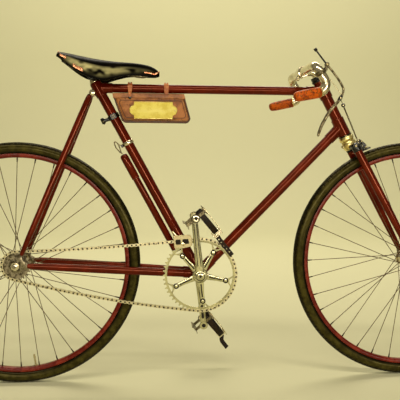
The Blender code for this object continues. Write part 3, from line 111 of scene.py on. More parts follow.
# ---------------------------------------------------------------- mesh helpers
def solid(bm, tidy=True, name="piece"):
    """A mesh object from a bmesh; doubles are merged and faces turned outwards."""
    if tidy:
        bmesh.ops.remove_doubles(bm, verts=bm.verts, dist=1e-6)
        bmesh.ops.recalc_face_normals(bm, faces=bm.faces)
    mesh = bpy.data.meshes.new(name)
    bm.to_mesh(mesh)
    bm.free()
    made = bpy.data.objects.new(name, mesh)
    bpy.context.scene.collection.objects.link(made)
    return made


def skin(rings, closed=False, open_rings=False):
    """Faces between rings of points, with U round each ring and V along the run."""
    bm = bmesh.new()
    uv = bm.loops.layers.uv.new("surface")
    loops = [[bm.verts.new(point) for point in ring] for ring in rings]
    count = len(loops[0])
    runs = len(loops) if closed else len(loops) - 1
    spans = count - 1 if open_rings else count
    for i in range(runs):
        here = loops[i]
        following = loops[(i + 1) % len(loops)]
        for j in range(spans):
            k = (j + 1) % count
            face = bm.faces.new((here[j], here[k], following[k], following[j]))
            places = ((j, i), (j + 1, i), (j + 1, i + 1), (j, i + 1))
            for loop, (u, v) in zip(face.loops, places):
                loop[uv].uv = (u / spans, v / runs)
    if not closed and not open_rings:
        bm.faces.new(loops[0][::-1])
        bm.faces.new(loops[-1])
    return solid(bm)


def sheet(rows):
    """An open surface between rows of points."""
    return skin(rows, open_rings=True)


def oval(centre, tangent, across, tall, wide, sides, square=2.0):
    """A ring square to a path's tangent; square 2 is an ellipse, more is a rounded rectangle."""
    side = (across - tangent * across.dot(tangent)).normalized()
    up = side.cross(tangent).normalized()
    ring = []
    for i in range(sides):
        angle = 2 * pi * i / sides
        c, s = cos(angle), sin(angle)
        x = wide * (abs(c) ** (2 / square)) * (1 if c >= 0 else -1)
        z = tall * (abs(s) ** (2 / square)) * (1 if s >= 0 else -1)
        ring.append(centre + side * x + up * z)
    return ring


def bar(path, sizes, across=ACROSS, sides=32, square=2.0, closed=False):
    """A bar along a path; sizes is (tall, wide) half sizes, one pair or one for each point."""
    points = [Vector(point) for point in path]
    if not isinstance(sizes[0], (tuple, list)):
        sizes = [sizes] * len(points)
    rings = []
    for i, point in enumerate(points):
        before = points[i - 1] if closed or i else point
        after = points[(i + 1) % len(points)] if closed or i + 1 < len(points) else point
        rings.append(oval(point, (after - before).normalized(), across, *sizes[i], sides, square))
    return skin(rings, closed)


def rod(start, end, radius, end_radius=None, sides=32):
    """A straight round bar, or a tapered one."""
    start, end = Vector(start), Vector(end)
    across = AHEAD if abs((end - start).normalized().y) > 0.9 else ACROSS
    last = radius if end_radius is None else end_radius
    return bar((start, end), [(radius, radius), (last, last)], across, sides)


def turned(profile, centre, axis=ACROSS, steps=48):
    """A turned piece; profile is (radius, distance along the axis), closed where it starts off the axis."""
    turn = UP.rotation_difference(Vector(axis)).to_matrix()
    rings = []
    for i in range(steps):
        angle = 2 * pi * i / steps
        rings.append([turn @ Vector((r * cos(angle), r * sin(angle), h)) + Vector(centre)
                for r, h in profile])
    return skin(rings, closed=True, open_rings=profile[0][0] == 0)


def extruded(outline, low, high, centre=Vector(), slope=0.0):
    """A plate in the side view: (ahead, above) points turned by slope, from y = low to y = high."""
    bm = bmesh.new()
    turn = Matrix.Rotation(-slope, 3, "Y")
    ring = [bm.verts.new(turn @ Vector((x, low, z)) + Vector(centre)) for x, z in outline]
    made = bmesh.ops.extrude_face_region(bm, geom=[bm.faces.new(ring)])["geom"]
    lifted = [item for item in made if isinstance(item, bmesh.types.BMVert)]
    bmesh.ops.translate(bm, verts=lifted, vec=(0, high - low, 0))
    return solid(bm)


def settled(piece):
    """Turns a piece's modifiers into its mesh."""
    bpy.context.view_layer.update()
    evaluated = piece.evaluated_get(bpy.context.evaluated_depsgraph_get())
    mesh = bpy.data.meshes.new_from_object(evaluated)
    piece.modifiers.clear()
    piece.data = mesh
    return piece


def worked(piece, kind, **settings):
    """Applies one modifier with its settings."""
    modifier = piece.modifiers.new("work", kind)
    for name, value in settings.items():
        setattr(modifier, name, value)
    return settled(piece)


def softened(piece, width, segments=2, angle=40):
    """Rounds a piece's sharp edges."""
    return worked(piece, "BEVEL", width=width, segments=segments, limit_method="ANGLE",
        angle_limit=radians(angle))


def thickened(piece, thickness, offset, face=0, outwards=None):
    """Gives a sheet its wall, after turning it so that one of its faces looks outwards."""
    if outwards and piece.data.polygons[face].normal.dot(outwards) < 0:
        piece.data.flip_normals()
    return worked(piece, "SOLIDIFY", thickness=thickness, offset=offset)


def cast(pieces, voxel=0.0012, rounds=3):
    """Melts united bodies into one rounded casting."""
    melted = worked(joined(pieces), "REMESH", mode="VOXEL", voxel_size=voxel)
    return worked(melted, "SMOOTH", factor=0.5, iterations=rounds)


def cut(piece, *tools):
    """Cuts tools out of a piece, leaving each cut in its tool's finish."""
    for tool in tools:
        modifier = piece.modifiers.new("shape", "BOOLEAN")
        modifier.operation = "DIFFERENCE"
        modifier.material_mode = "TRANSFER"
        modifier.solver = "EXACT"
        modifier.object = tool
    settled(piece)
    for tool in tools:
        bpy.data.objects.remove(tool, do_unlink=True)
    return piece


def joined(pieces):
    """One object from several whose bodies touch or cross; each keeps a finish of its own."""
    bm = bmesh.new()
    coats = []
    for piece in pieces:
        first = len(bm.faces)
        bm.from_mesh(piece.data)
        bm.faces.ensure_lookup_table()
        own = list(piece.data.materials) or [None]
        coats += [coat for coat in own if coat not in coats]
        for face in bm.faces[first:]:
            face.material_index = coats.index(own[face.material_index])
    made = solid(bm, tidy=False)
    for coat in coats:
        made.data.materials.append(coat)
    for piece in pieces:
        bpy.data.objects.remove(piece, do_unlink=True)
    return made


def painted(piece, coat):
    """Gives a part a finish of its own."""
    piece.data.materials.clear()
    piece.data.materials.append(coat)
    return piece


def smooth_path(points, steps):
    """Points of a Catmull-Rom curve through the given ones."""
    knots = [Vector(point) for point in points]
    knots = [knots[0] * 2 - knots[1]] + knots + [knots[-1] * 2 - knots[-2]]
    path = []
    for a, b, c, d in zip(knots, knots[1:], knots[2:], knots[3:]):
        for step in range(steps):
            t = step / steps
            path.append(0.5 * (2 * b + (c - a) * t + (2 * a - 5 * b + 4 * c - d) * t * t
                    + (3 * b - a - 3 * c + d) * t ** 3))
    path.append(knots[-2])
    return path


def rounded(outline, radius, steps):
    """An outline with each corner turned to an arc; radius is one value or one for each corner."""
    flat = [Vector(corner) for corner in outline]
    radii = radius if isinstance(radius, (tuple, list)) else [radius] * len(flat)
    points = []
    for i, corner in enumerate(flat):
        back = (flat[i - 1] - corner).normalized()
        ahead = (flat[(i + 1) % len(flat)] - corner).normalized()
        half = back.angle(ahead) / 2
        middle = corner + (back + ahead).normalized() * (radii[i] / sin(half))
        start = corner + back * (radii[i] / tan(half)) - middle
        end = corner + ahead * (radii[i] / tan(half)) - middle
        for step in range(steps + 1):
            spoke = start.lerp(end, step / steps).normalized() * radii[i]
            points.append(tuple(middle + spoke))
    return points


def polar(radius, angle, side=0.0):
    """A point on a circle round the y axis."""
    return Vector((radius * cos(angle), side, radius * sin(angle)))


def arc(radius, first, last, step):
    """Points (ahead, above) of a circle, from the first angle in degrees until the last."""
    return [(radius * cos(radians(a)), radius * sin(radians(a))) for a in range(first, last, step)]


def done(piece, name, body, material, nodes=(), sharp=35):
    """Finishes a piece, or a list of pieces as one: its material, the body it rides on and the nodes that
    it stands for."""
    if isinstance(piece, list):
        piece = joined(piece)
    piece.name = name
    piece.data.name = name
    coats = piece.data.materials
    if not coats:
        coats.append(material)
    for i, coat in enumerate(coats):
        coats[i] = coat or material
    piece.data.shade_smooth()
    piece.data.set_sharp_from_angle(angle=radians(sharp))
    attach(piece, body)
    if nodes:
        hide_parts(*nodes)
    return piece


# ---------------------------------------------------------------- node helpers
def hue(code):
    """An sRGB hex colour as linear light."""
    values = [int(code[i:i + 2], 16) / 255 for i in (1, 3, 5)]
    linear = [v / 12.92 if v <= 0.04045 else ((v + 0.055) / 1.055) ** 2.4 for v in values]
    return (*linear, 1.0)


def feed(tree, made, inputs):
    """Sets a node's sockets, or links them where the value is another node's socket or a list of them."""
    for socket, value in inputs.items():
        if isinstance(value, (bpy.types.NodeSocket, list)):
            for source in value if isinstance(value, list) else [value]:
                tree.links.new(source, made.inputs[socket])
        elif value is not None:
            made.inputs[socket].default_value = value


def add(tree, kind, *values, out=0, at=None, stops=(), **named):
    """Adds a node, its kind given without its family's name, and gives one of its outputs. Values go to its
    inputs in order or by number (at); a name with a capital is an input and the other names are settings."""
    families = (tree.bl_idname.removesuffix("Tree"), "ShaderNode", "FunctionNode", "Node")
    made = tree.nodes.new(next(family + kind for family in families if hasattr(bpy.types, family + kind)))
    for name, value in named.items():
        if name.islower():
            setattr(made, name, value)
    ramp = made.color_ramp.elements if stops else ()
    while len(ramp) < len(stops):
        ramp.new(0.5)
    for point, (place, colour) in zip(ramp, stops):
        point.position = place
        point.color = hue(colour)
    feed(tree, made, dict(enumerate(values)))
    feed(tree, made, at or {})
    feed(tree, made, {name.replace("_", " "): value for name, value in named.items() if not name.islower()})
    return made.outputs[out] if len(made.outputs) else None


# ---------------------------------------------------------------- finishes
def patches(tree, place, size, low, high, stretch=(1, 1, 1), detail=4):
    """A mask of soft-edged patches about size metres across; a higher low leaves fewer of them."""
    spread = add(tree, "Mapping", Vector=place, Scale=stretch)
    cloud = add(tree, "TexNoise", Vector=spread, Scale=1 / size, Detail=detail, Roughness=0.62)
    return add(tree, "MapRange", cloud, low, high, interpolation_type="SMOOTHSTEP")


def finish(name, base, layers, rough, grain, metal=0.0, level=0.5, tint="#ffffff"):
    """A surface: a base colour under layers (size, low, high, colour), roughness from the first to the
    second value of rough with the first layer, and grain (size, strength) in relief."""
    made = bpy.data.materials.new(name)
    made.use_nodes = True
    tree = made.node_tree
    place = add(tree, "TexCoord", out="Object")
    colour = hue(base)
    first = None
    for size, low, high, over in layers:
        mask = patches(tree, place, size, low, high)
        first = first or mask
        colour = add(tree, "Mix", at={0: mask, 6: colour, 7: hue(over)}, out=2, data_type="RGBA")
    even = rough[0] if rough[0] == rough[1] else add(tree, "MapRange", first, 0, 1, *rough)
    normal = None
    for size, strength in grain:
        fine = add(tree, "TexNoise", Vector=place, Scale=1 / size, Detail=2)
        normal = add(tree, "Bump", Height=fine, Strength=strength, Distance=size / 3, Normal=normal)
    feed(tree, tree.nodes["Principled BSDF"],
        {"Base Color": colour, "Roughness": even, "Normal": normal, "Metallic": metal,
            "Specular IOR Level": level, "Specular Tint": hue(tint)})
    return made


def opened(made):
    """A finish's tree, shader, Object and UV coordinates, and what now feeds its colour and its relief."""
    tree = made.node_tree
    shader = tree.nodes["Principled BSDF"]
    place = tree.nodes["Texture Coordinate"].outputs
    under = [shader.inputs[name].links[0].from_socket for name in ("Base Color", "Normal")]
    return tree, shader, place["Object"], place["UV"], *under


def mirrored(places, codes):
    """Stops of a mask across a surface at the same places from both its edges: 0 is black and 1 is white."""
    stops = [(place, "#ffffff" if code == "1" else "#000000") for place, code in zip(places, codes)]
    return stops + [(1 - place, colour) for place, colour in reversed(stops)]


def lined_rim():
    """Brick-red enamelled steel with a thin pale line near each edge, the line worn away in places."""
    made = finish("brick_red_rim_enamel", "#5c1004",
        ((0.03, 0.4, 0.66, "#7e240c"), (0.006, 0.66, 0.74, "#2c1006")), (0.22, 0.36), ((0.0012, 0.1),),
        level=0.25)
    tree, shader, place, surface, red, _ = opened(made)
    line = add(tree, "ValToRGB", add(tree, "SeparateXYZ", surface),
        stops=mirrored((0.171, 0.180, 0.194, 0.203), "0110"))
    line = add(tree, "Math", line, patches(tree, place, 0.009, 0.3, 0.48), operation="MULTIPLY")
    pale = add(tree, "Mix", at={0: line, 6: red, 7: hue("#d9b48c")}, out=2, data_type="RGBA")
    feed(tree, shader, {"Base Color": pale})
    return made


def two_tone_rubber():
    """Vulcanised rubber: black tread and bead, olive-brown gum between them, dusty, finely pitted."""
    made = finish("aged_two_tone_rubber", "#0c0a04",
        ((0.05, 0.4, 0.66, "#18140a"), (0.004, 0.58, 0.76, "#2e2a16")), (0.2, 0.32), ((0.0009, 0.08),),
        level=0.24, tint="#e6d692")
    tree, shader, place, surface, black, _ = opened(made)
    gum = add(tree, "ValToRGB", add(tree, "SeparateXYZ", surface),
        stops=mirrored((0.13, 0.19, 0.31, 0.37), "0110"))
    cloud = patches(tree, place, 0.02, 0.35, 0.7)
    olive = add(tree, "Mix", at={0: cloud, 6: hue("#262209"), 7: hue("#443e18")}, out=2, data_type="RGBA")
    both = add(tree, "Mix", at={0: gum, 6: black, 7: olive}, out=2, data_type="RGBA")
    feed(tree, shader, {"Base Color": both})
    return made


def painted_olive_band(made):
    """Black leather with a painted olive reflection along its flanks, and a creased line inside each edge."""
    tree, shader, place, surface, black, under = opened(made)
    where = add(tree, "SeparateXYZ", surface)
    across = add(tree, "ValToRGB", where, stops=mirrored((0.01, 0.06, 0.13, 0.2), "0110"))
    along = add(tree, "ValToRGB", where.node.outputs["Y"],
        stops=((0.10, "#000000"), (0.30, "#ffffff"), (0.55, "#d0d0d0"), (0.75, "#6a6a6a"), (0.92, "#000000")))
    share = add(tree, "Math", across, along, operation="MULTIPLY")
    smoke = patches(tree, place, 0.035, 0.28, 0.6, (1, 1, 1.8), 1)
    share = add(tree, "Math", share, smoke, operation="MULTIPLY")
    # The olive band is a painted reflection.
    painted_reflection = add(tree, "Mix", at={0: share, 6: black, 7: hue("#c4bc84")}, out=2, data_type="RGBA")
    crease = add(tree, "ValToRGB", where, stops=mirrored((0.022, 0.027, 0.032), "101"))
    relief = add(tree, "Bump", Height=crease, Strength=0.6, Distance=0.0006, Normal=under)
    feed(tree, shader, {"Base Color": painted_reflection, "Normal": relief})
    return made


def pebbled(made, size, strength):
    """Adds leather's grain to a finish: raised pebbles of the given size between fine creases."""
    tree, shader, place, _, _, under = opened(made)
    crease = add(tree, "TexVoronoi", Vector=place, Scale=1 / size, feature="DISTANCE_TO_EDGE")
    pebble = add(tree, "MapRange", crease, 0, 0.25, interpolation_type="SMOOTHSTEP")
    feed(tree, shader, {"Normal": add(tree, "Bump", Height=pebble, Strength=strength, Distance=size / 4,
                Normal=under)})
    return made


# Oxblood stove enamel, sprayed and baked: a deep gloss over a faintly uneven flow, with dull dark rubs.
ENAMEL = finish("oxblood_stove_enamel", "#420a02",
    ((0.06, 0.38, 0.66, "#5c1404"), (0.008, 0.65, 0.74, "#200803")), (0.1, 0.15), ((0.05, 0.02),),
    tint="#ff9c78")
RIM_RED = lined_rim()
RUBBER = two_tone_rubber()
# Buffed nickel plating: a warm mirror, hazed in patches, with brown freckles of tarnish.
NICKEL = finish("polished_nickel_plate", "#ddd3b8",
    ((0.025, 0.45, 0.7, "#a89a76"), (0.0022, 0.66, 0.74, "#5e4a2c")), (0.12, 0.3), ((0.001, 0.04),),
    metal=1.0)
# The same plating dulled by weather: greyer, softer, more stained.
DULL_NICKEL = finish("dulled_nickel_plate", "#c8bc96",
    ((0.012, 0.46, 0.7, "#8f815a"), (0.0022, 0.66, 0.76, "#4a3c26")), (0.22, 0.36), ((0.001, 0.06),),
    metal=1.0)
# Drawn steel wire, tinned and dulled: dark grey-brown with rust flecks along it.
WIRE = finish("browned_steel_wire", "#5a4520", ((0.006, 0.46, 0.64, "#2c1e0a"),), (0.4, 0.6), ((0.001, 0.1),),
    metal=0.3)
# Turned brass nipples, blackened by oil and brake dust.
NIPPLE = finish("blackened_brass", "#3a2f1c", ((0.006, 0.46, 0.64, "#1d160c"),), (0.35, 0.6), ((0.001, 0.1),),
    metal=0.7)
# Bare machined steel, oiled and browned: grime in the hollows, brighter where it rubs.
STEEL = finish("oiled_machined_steel", "#8f856b", ((0.010, 0.4, 0.64, "#3d3524"),), (0.34, 0.6),
    ((0.0012, 0.15),), metal=0.9)
# Chain plates blued and oiled, polished by running: pale where they rub, brown in the gaps.
CHAIN_STEEL = finish("oiled_chain_steel", "#cfc6a0", ((0.006, 0.5, 0.68, "#5d5238"),), (0.28, 0.5),
    ((0.001, 0.1),), metal=0.95)
# Pressed cage steel browned by hand, with bright worn edges.
CAGE_STEEL = finish("browned_pedal_steel", "#7c7256", ((0.008, 0.42, 0.64, "#3e3624"),), (0.26, 0.45),
    ((0.001, 0.15),), metal=0.9)
# Forged and polished light alloy, yellowed: a soft mirror, clouded, with pits from the hammer.
ALLOY = finish("polished_forged_alloy", "#cbc6a2",
    ((0.02, 0.46, 0.7, "#918b64"), (0.0018, 0.66, 0.75, "#4d4a33")), (0.16, 0.32), ((0.0022, 0.05),),
    metal=1.0)
# Lacquered brass: golden, browned in patches, with a soft uneven shine.
BRASS = finish("lacquered_brass", "#eddc9a", ((0.014, 0.44, 0.7, "#cfae5c"), (0.003, 0.66, 0.76, "#7a5c28")),
    (0.28, 0.4), ((0.004, 0.03),), metal=1.0)
# Black japan lacquer on steel: glossy where whole, grey-brown where it has rubbed through.
JAPAN = finish("black_japan_lacquer", "#0c0a06", ((0.006, 0.62, 0.74, "#453a26"),), (0.22, 0.5),
    ((0.001, 0.05),), level=0.35)
# A dark, dull finish that paints shade into holes, grooves, gaps and round bolt heads; on the chain's rollers
# and pins it is old oil and painted shade together.
SHADE_AND_GRIME = finish("painted_shade_and_oily_grime", "#17120a", ((0.004, 0.45, 0.65, "#2c2414"),), (0.6, 0.8), ((0.0008, 0.2),),
    level=0.2)
# Pressed cork under shellac: orange-brown, blotched darker by hands, with small dark pits.
CORK = pebbled(finish("shellacked_cork", "#c65806",
        ((0.018, 0.46, 0.64, "#7e2c02"), (0.006, 0.53, 0.61, "#2a0e04"), (0.006, 0.6, 0.7, "#dc8420")),
        (0.4, 0.55), ((0.002, 0.2),), level=0.2), 0.0045, 0.2)
# Saddle leather glazed black: a wet-looking gloss with faint brown scuffs, and a painted olive reflection
# along its flanks.
SADDLE_HIDE = painted_olive_band(finish("glazed_black_saddle_leather", "#050402",
        ((0.035, 0.42, 0.68, "#0e0a04"), (0.009, 0.6, 0.74, "#1e1408")), (0.34, 0.42), ((0.0008, 0.03),),
        level=0.02))
# Brown saddlery leather, waxed and handled: slow changes of tone, dark rubs, open pebbled grain.
BAG_HIDE = pebbled(finish("brown_saddlery_leather", "#7c471d",
        ((0.035, 0.4, 0.64, "#aa6d3a"), (0.009, 0.56, 0.72, "#44220c")), (0.42, 0.55), ((0.0008, 0.2),),
        level=0.35), 0.0018, 0.35)
# The lid's leather: the same hide, paler where hands lift it.
LID_HIDE = pebbled(finish("handled_bag_lid_leather", "#7a441a",
        ((0.03, 0.4, 0.64, "#aa6c38"), (0.007, 0.58, 0.72, "#3e1e0a")), (0.36, 0.5), ((0.0008, 0.2),)),
    0.0018, 0.25)
# The same leather's cut edge, burnished dark with wax.
BAG_EDGE = finish("burnished_leather_edge", "#3c1f10", ((0.02, 0.42, 0.66, "#5a3018"),), (0.35, 0.5),
    ((0.0012, 0.2),))
# Strap leather dyed copper brown, polished by wear on its face.
STRAP_HIDE = pebbled(finish("copper_brown_strap_leather", "#96501e",
        ((0.02, 0.4, 0.66, "#c47c46"), (0.007, 0.6, 0.74, "#5f2f12")), (0.34, 0.5), ((0.0008, 0.15),),
        level=0.4), 0.0014, 0.25)
# Toe-strap leather, black-brown and greasy, pale where it is creased.
TOE_HIDE = pebbled(finish("dark_toe_strap_leather", "#140c05",
        ((0.014, 0.42, 0.66, "#2a1c0c"), (0.004, 0.62, 0.74, "#6a5636")), (0.4, 0.55), ((0.0008, 0.15),),
        level=0.15), 0.0014, 0.25)
# Yellow enamel fired on a thin brass plate: a soft gloss, clouded, speckled brown.
LABEL = finish("yellow_vitreous_enamel", "#e2d365",
    ((0.02, 0.4, 0.68, "#d0bb48"), (0.0022, 0.64, 0.74, "#8f7a30")), (0.34, 0.5), ((0.004, 0.05),), level=0.3)
# Waxed linen thread, pale and twisted.
THREAD = finish("waxed_linen_thread", "#8c6a42", ((0.003, 0.4, 0.6, "#c9a878"),), (0.7, 0.7),
    ((0.0006, 0.3),))
# Copper rivets and caps, hammered: pinkish, browned in the dimples.
COPPER = finish("hammered_copper", "#e0a078", ((0.006, 0.44, 0.68, "#a8603c"),), (0.22, 0.4),
    ((0.0015, 0.35),), metal=1.0)


# ---------------------------------------------------------------- geometry node helpers
def new_tree(name, inputs):
    """A geometry tree with named inputs, (label, kind, default); returns it and its input sockets."""
    tree = bpy.data.node_groups.new(name, "GeometryNodeTree")
    tree.interface.new_socket("Result", in_out="OUTPUT", socket_type="NodeSocketGeometry")
    for label, kind, value in (*inputs, ("Finish", "Material", None)):
        socket = tree.interface.new_socket(label, in_out="INPUT", socket_type="NodeSocket" + kind)
        if value is not None:
            socket.default_value = value
    return tree, tree.nodes.new("NodeGroupInput").outputs


def finish_tree(tree, *groups):
    """Each group is a finish and the shapes that take it: realized, given the finish and sent out joined."""
    coated = []
    for coat, *shapes in groups:
        real = add(tree, "RealizeInstances", add(tree, "JoinGeometry", shapes))
        coated.append(add(tree, "SetMaterial", Geometry=real, Material=coat))
    add(tree, "GroupOutput", add(tree, "JoinGeometry", coated))
    return tree


def grown(tree, coat, centre=(0, 0, 0), host=None, **values):
    """The tree's result, set at a centre, as a plain mesh object."""
    piece = host or solid(bmesh.new())
    modifier = piece.modifiers.new("grow", "NODES")
    modifier.node_group = tree
    sockets = {item.name: item.identifier for item in tree.interface.items_tree if item.in_out == "INPUT"}
    for label, value in {"Finish": coat, **values}.items():
        modifier[sockets[label.replace("_", " ")]] = value
    settled(piece).data.transform(Matrix.Translation(centre))
    return piece


def on_circle(tree, radius, angle, off):
    """A place on a circle round the y axis, off to one side."""
    ahead = add(tree, "Math", radius, add(tree, "Math", angle, operation="COSINE"), operation="MULTIPLY")
    above = add(tree, "Math", radius, add(tree, "Math", angle, operation="SINE"), operation="MULTIPLY")
    return add(tree, "CombineXYZ", ahead, off, above)


# ---------------------------------------------------------------- wheels
WHEEL_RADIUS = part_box("rear_tyre")[1].z - REAR.z
TYRE_HALF_DEPTH = 0.0165
TYRE_HALF_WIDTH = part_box("rear_tyre")[1].y
RIM_INNER = 0.3057
SPOKES = 36
SPOKE_GAUGE = 0.00105
FLANGE_HOLES = 0.0215
VALVE_ANGLE = radians(-82)


def tyre_profile():
    """Ribbed tread, moulded shoulder line, plain sidewall and bead, as (radius, side) round the tyre."""
    points = []
    for i in range(96):
        angle = 2 * pi * i / 96
        off = abs(degrees(angle if angle < pi else angle - 2 * pi))
        depth = 0.0
        if off < 34:
            depth = 0.0009 if int((off + 3.75) / 7.5) % 2 else 0.0
        elif off < 41:
            depth = 0.0011
        elif 104 < off < 108:
            depth = 0.0006
        wide = abs(sin(angle)) ** (0.6 if off > 90 else 1.0) * (1 if angle < pi else -1)
        points.append((WHEEL_RADIUS - TYRE_HALF_DEPTH + (TYRE_HALF_DEPTH - depth) * cos(angle),
                (TYRE_HALF_WIDTH - 0.0004 - depth) * wide))
    return points


RIM_HALF = mm((312.5, 0), (312.8, 5.5), (314.5, 9.6), (316.2, 10.8), (317.6, 11.9), (317.6, 13.1),
    (315.5, 13.5), (312, 13.3), (309, 12.2), (307, 9.8), (306, 6.6), (305.7, 3), (305.7, 0))


def rim_profile():
    """The closed rim section, smoothed."""
    loop = RIM_HALF + [(r, -y) for r, y in reversed(RIM_HALF[1:-1])]
    path = smooth_path([(r, y, 0) for r, y in loop + loop[:1]], 2)
    return [(point.x, point.y) for point in path[:-1]]


def shoulder_bars_tree():
    """Slanted moulded bars round one shoulder of a tyre."""
    tree, take = new_tree("tyre_shoulder_bars",
        (("Bars", "Int", 132), ("Radius", "Float", 0.34), ("Side", "Float", 0.01), ("Lean", "Float", 0.8),
            ("Slant", "Float", 0.5)))
    step = add(tree, "Math", 2 * pi, take["Bars"], operation="DIVIDE")
    turn = add(tree, "Math", add(tree, "InputIndex"), step, operation="MULTIPLY")
    points = add(tree, "Points", Count=take["Bars"],
        Position=on_circle(tree, take["Radius"], turn, take["Side"]))
    lean = add(tree, "CombineXYZ", take["Lean"], 0.0, take["Slant"])
    block = add(tree, "Transform", Rotation=lean,
        Geometry=add(tree, "MeshCube", Size=(0.0022, 0.0052, 0.0062)))
    facing = add(tree, "Math", pi / 2, turn, operation="SUBTRACT")
    bars = add(tree, "InstanceOnPoints", Points=points, Instance=block,
        Rotation=add(tree, "CombineXYZ", 0.0, facing, 0.0))
    return finish_tree(tree, (take["Finish"], bars))


def lacing_tree():
    """One flange's spokes, crossed, each with its bent head at the hub and its nipple at the rim."""
    tree, take = new_tree("spoke_lacing",
        (("Spokes", "Int", 18), ("Shift", "Float", 0.0), ("Crossing", "Float", 3.0),
            ("Hub Radius", "Float", FLANGE_HOLES), ("Rim Radius", "Float", RIM_INNER),
            ("Flange", "Float", 0.03), ("Rim Side", "Float", 0.003), ("Gauge", "Float", SPOKE_GAUGE),
            ("Head", "Float", 0.0024), ("Nipple Finish", "Material", None)))
    index = add(tree, "InputIndex")
    odd = add(tree, "Math", index, 2.0, operation="MODULO")
    lead = add(tree, "Math", odd, -2.0, 1.0, operation="MULTIPLY_ADD")
    step = add(tree, "Math", 2 * pi, take["Spokes"], operation="DIVIDE")
    place = add(tree, "Math", index, take["Shift"], operation="ADD")
    at_hub = add(tree, "Math", place, step, operation="MULTIPLY")
    ahead = add(tree, "Math", lead, take["Crossing"], operation="MULTIPLY")
    at_rim = add(tree, "Math", ahead, step, at_hub, operation="MULTIPLY_ADD")
    outward = add(tree, "Math", take["Flange"], operation="SIGN")
    face = add(tree, "Math", lead, outward, operation="MULTIPLY")
    start = on_circle(tree, take["Hub Radius"], at_hub,
        add(tree, "Math", face, -0.0024, take["Flange"], operation="MULTIPLY_ADD"))
    end = on_circle(tree, take["Rim Radius"], at_rim,
        add(tree, "Math", outward, take["Rim Side"], operation="MULTIPLY"))
    run = add(tree, "VectorMath", end, start, operation="SUBTRACT")
    length = add(tree, "VectorMath", run, operation="LENGTH", out="Value")
    turn = add(tree, "AlignRotationToVector", Vector=run, axis="Z")
    heads = add(tree, "Points", Count=take["Spokes"], Position=start)
    feet = add(tree, "Points", Count=take["Spokes"], Position=end)
    wire = add(tree, "MeshCylinder", Vertices=8, Radius=take["Gauge"], Depth=1.0)
    wire = add(tree, "Transform", Geometry=wire, Translation=(0, 0, 0.5))
    wires = add(tree, "InstanceOnPoints", Points=heads, Instance=wire, Rotation=turn,
        Scale=add(tree, "CombineXYZ", 1.0, 1.0, length))
    nipple = add(tree, "MeshCone", Vertices=8, Radius_Top=0.0022, Radius_Bottom=0.0016, Depth=0.0125)
    nipple = add(tree, "Transform", Geometry=nipple, Translation=(0, 0, -0.0125))
    nipples = add(tree, "InstanceOnPoints", Points=feet, Instance=nipple, Rotation=turn)
    bend = add(tree, "MeshUVSphere", Segments=8, Rings=6, Radius=take["Head"])
    bends = add(tree, "InstanceOnPoints", Points=heads, Instance=bend, Scale=(1.0, 0.7, 1.0))
    return finish_tree(tree, (take["Finish"], wires, bends), (take["Nipple Finish"], nipples))


SHOULDER_BARS = shoulder_bars_tree()
LACING = lacing_tree()


def wheel(prefix, body, centre, flanges):
    """Tyre, rim, hub shell and laced spokes of one wheel; flanges are at -y and +y."""
    tyre = [turned(tyre_profile(), centre, steps=220)]
    tyre += [grown(SHOULDER_BARS, RUBBER, centre, Side=side * 0.0128, Radius=WHEEL_RADIUS - 0.0062,
            Lean=side * 0.82, Slant=side * 0.45) for side in (-1, 1)]
    done(tyre, prefix + "_tyre_cover", body, RUBBER, (prefix + "_tyre",), sharp=28)

    rim = turned(rim_profile(), centre, steps=220)
    done(rim, prefix + "_rim_hoop", body, RIM_RED, (prefix + "_rim",), sharp=50)
    # the valve's stem, cap and nut: outer end, inner end, their radii, sides
    valve = [rod(centre + polar(RIM_INNER + outer, VALVE_ANGLE),
            centre + polar(RIM_INNER + inner, VALVE_ANGLE), *radii, sides)
        for outer, inner, *radii, sides in ((0.002, -0.024, 0.0026, 0.0026, 16),
            (-0.0235, -0.034, 0.0034, 0.0028, 16), (0.0005, -0.003, 0.0055, 0.0055, 6))]
    done(valve, prefix + "_valve", body, DULL_NICKEL)

    low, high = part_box(prefix + "_hub")
    right, left = flanges
    profile = past(low.y, (5.6, 0), (12, 0), (12.5, 3))
    profile += past(right, (14, -5.5), (17.5, -2.2), (24.6, -1.6), (25, 0), (24.6, 1.6), (18, 2.2), (13, 6),
        (10.8, 13))
    profile += mm((10.4, 0))
    profile += past(left, (10.8, -13), (13, -6), (18, -2.2), (24.6, -1.6), (25, 0), (24.6, 1.6), (17.5, 2.2),
        (14, 5.5))
    profile += past(high.y, (12.5, -3), (12, 0), (5.6, 0))
    shell = turned(profile, centre, steps=64)
    oiler = rod(centre + Vector((0, 0, 0.0102)), centre + Vector((0, 0, 0.0132)), 0.003, sides=16)
    clip = turned(mm((10.6, -4), (11.3, -4), (11.3, 4), (10.6, 4)), centre, steps=48)
    done([shell, clip, oiler], prefix + "_hub_shell", body, NICKEL, (prefix + "_hub",), sharp=25)

    laced = [grown(LACING, WIRE, centre, Spokes=SPOKES // 2, Shift=shift, Flange=place, Nipple_Finish=NIPPLE)
        for place, shift in ((right, 0.0), (left, 0.5))]
    done(laced, prefix + "_spokes", body, None, sharp=40)


wheel("rear", "rear_wheel", REAR, (-0.028, 0.034))
wheel("front", "front_wheel", FRONT, (-0.033, 0.033))


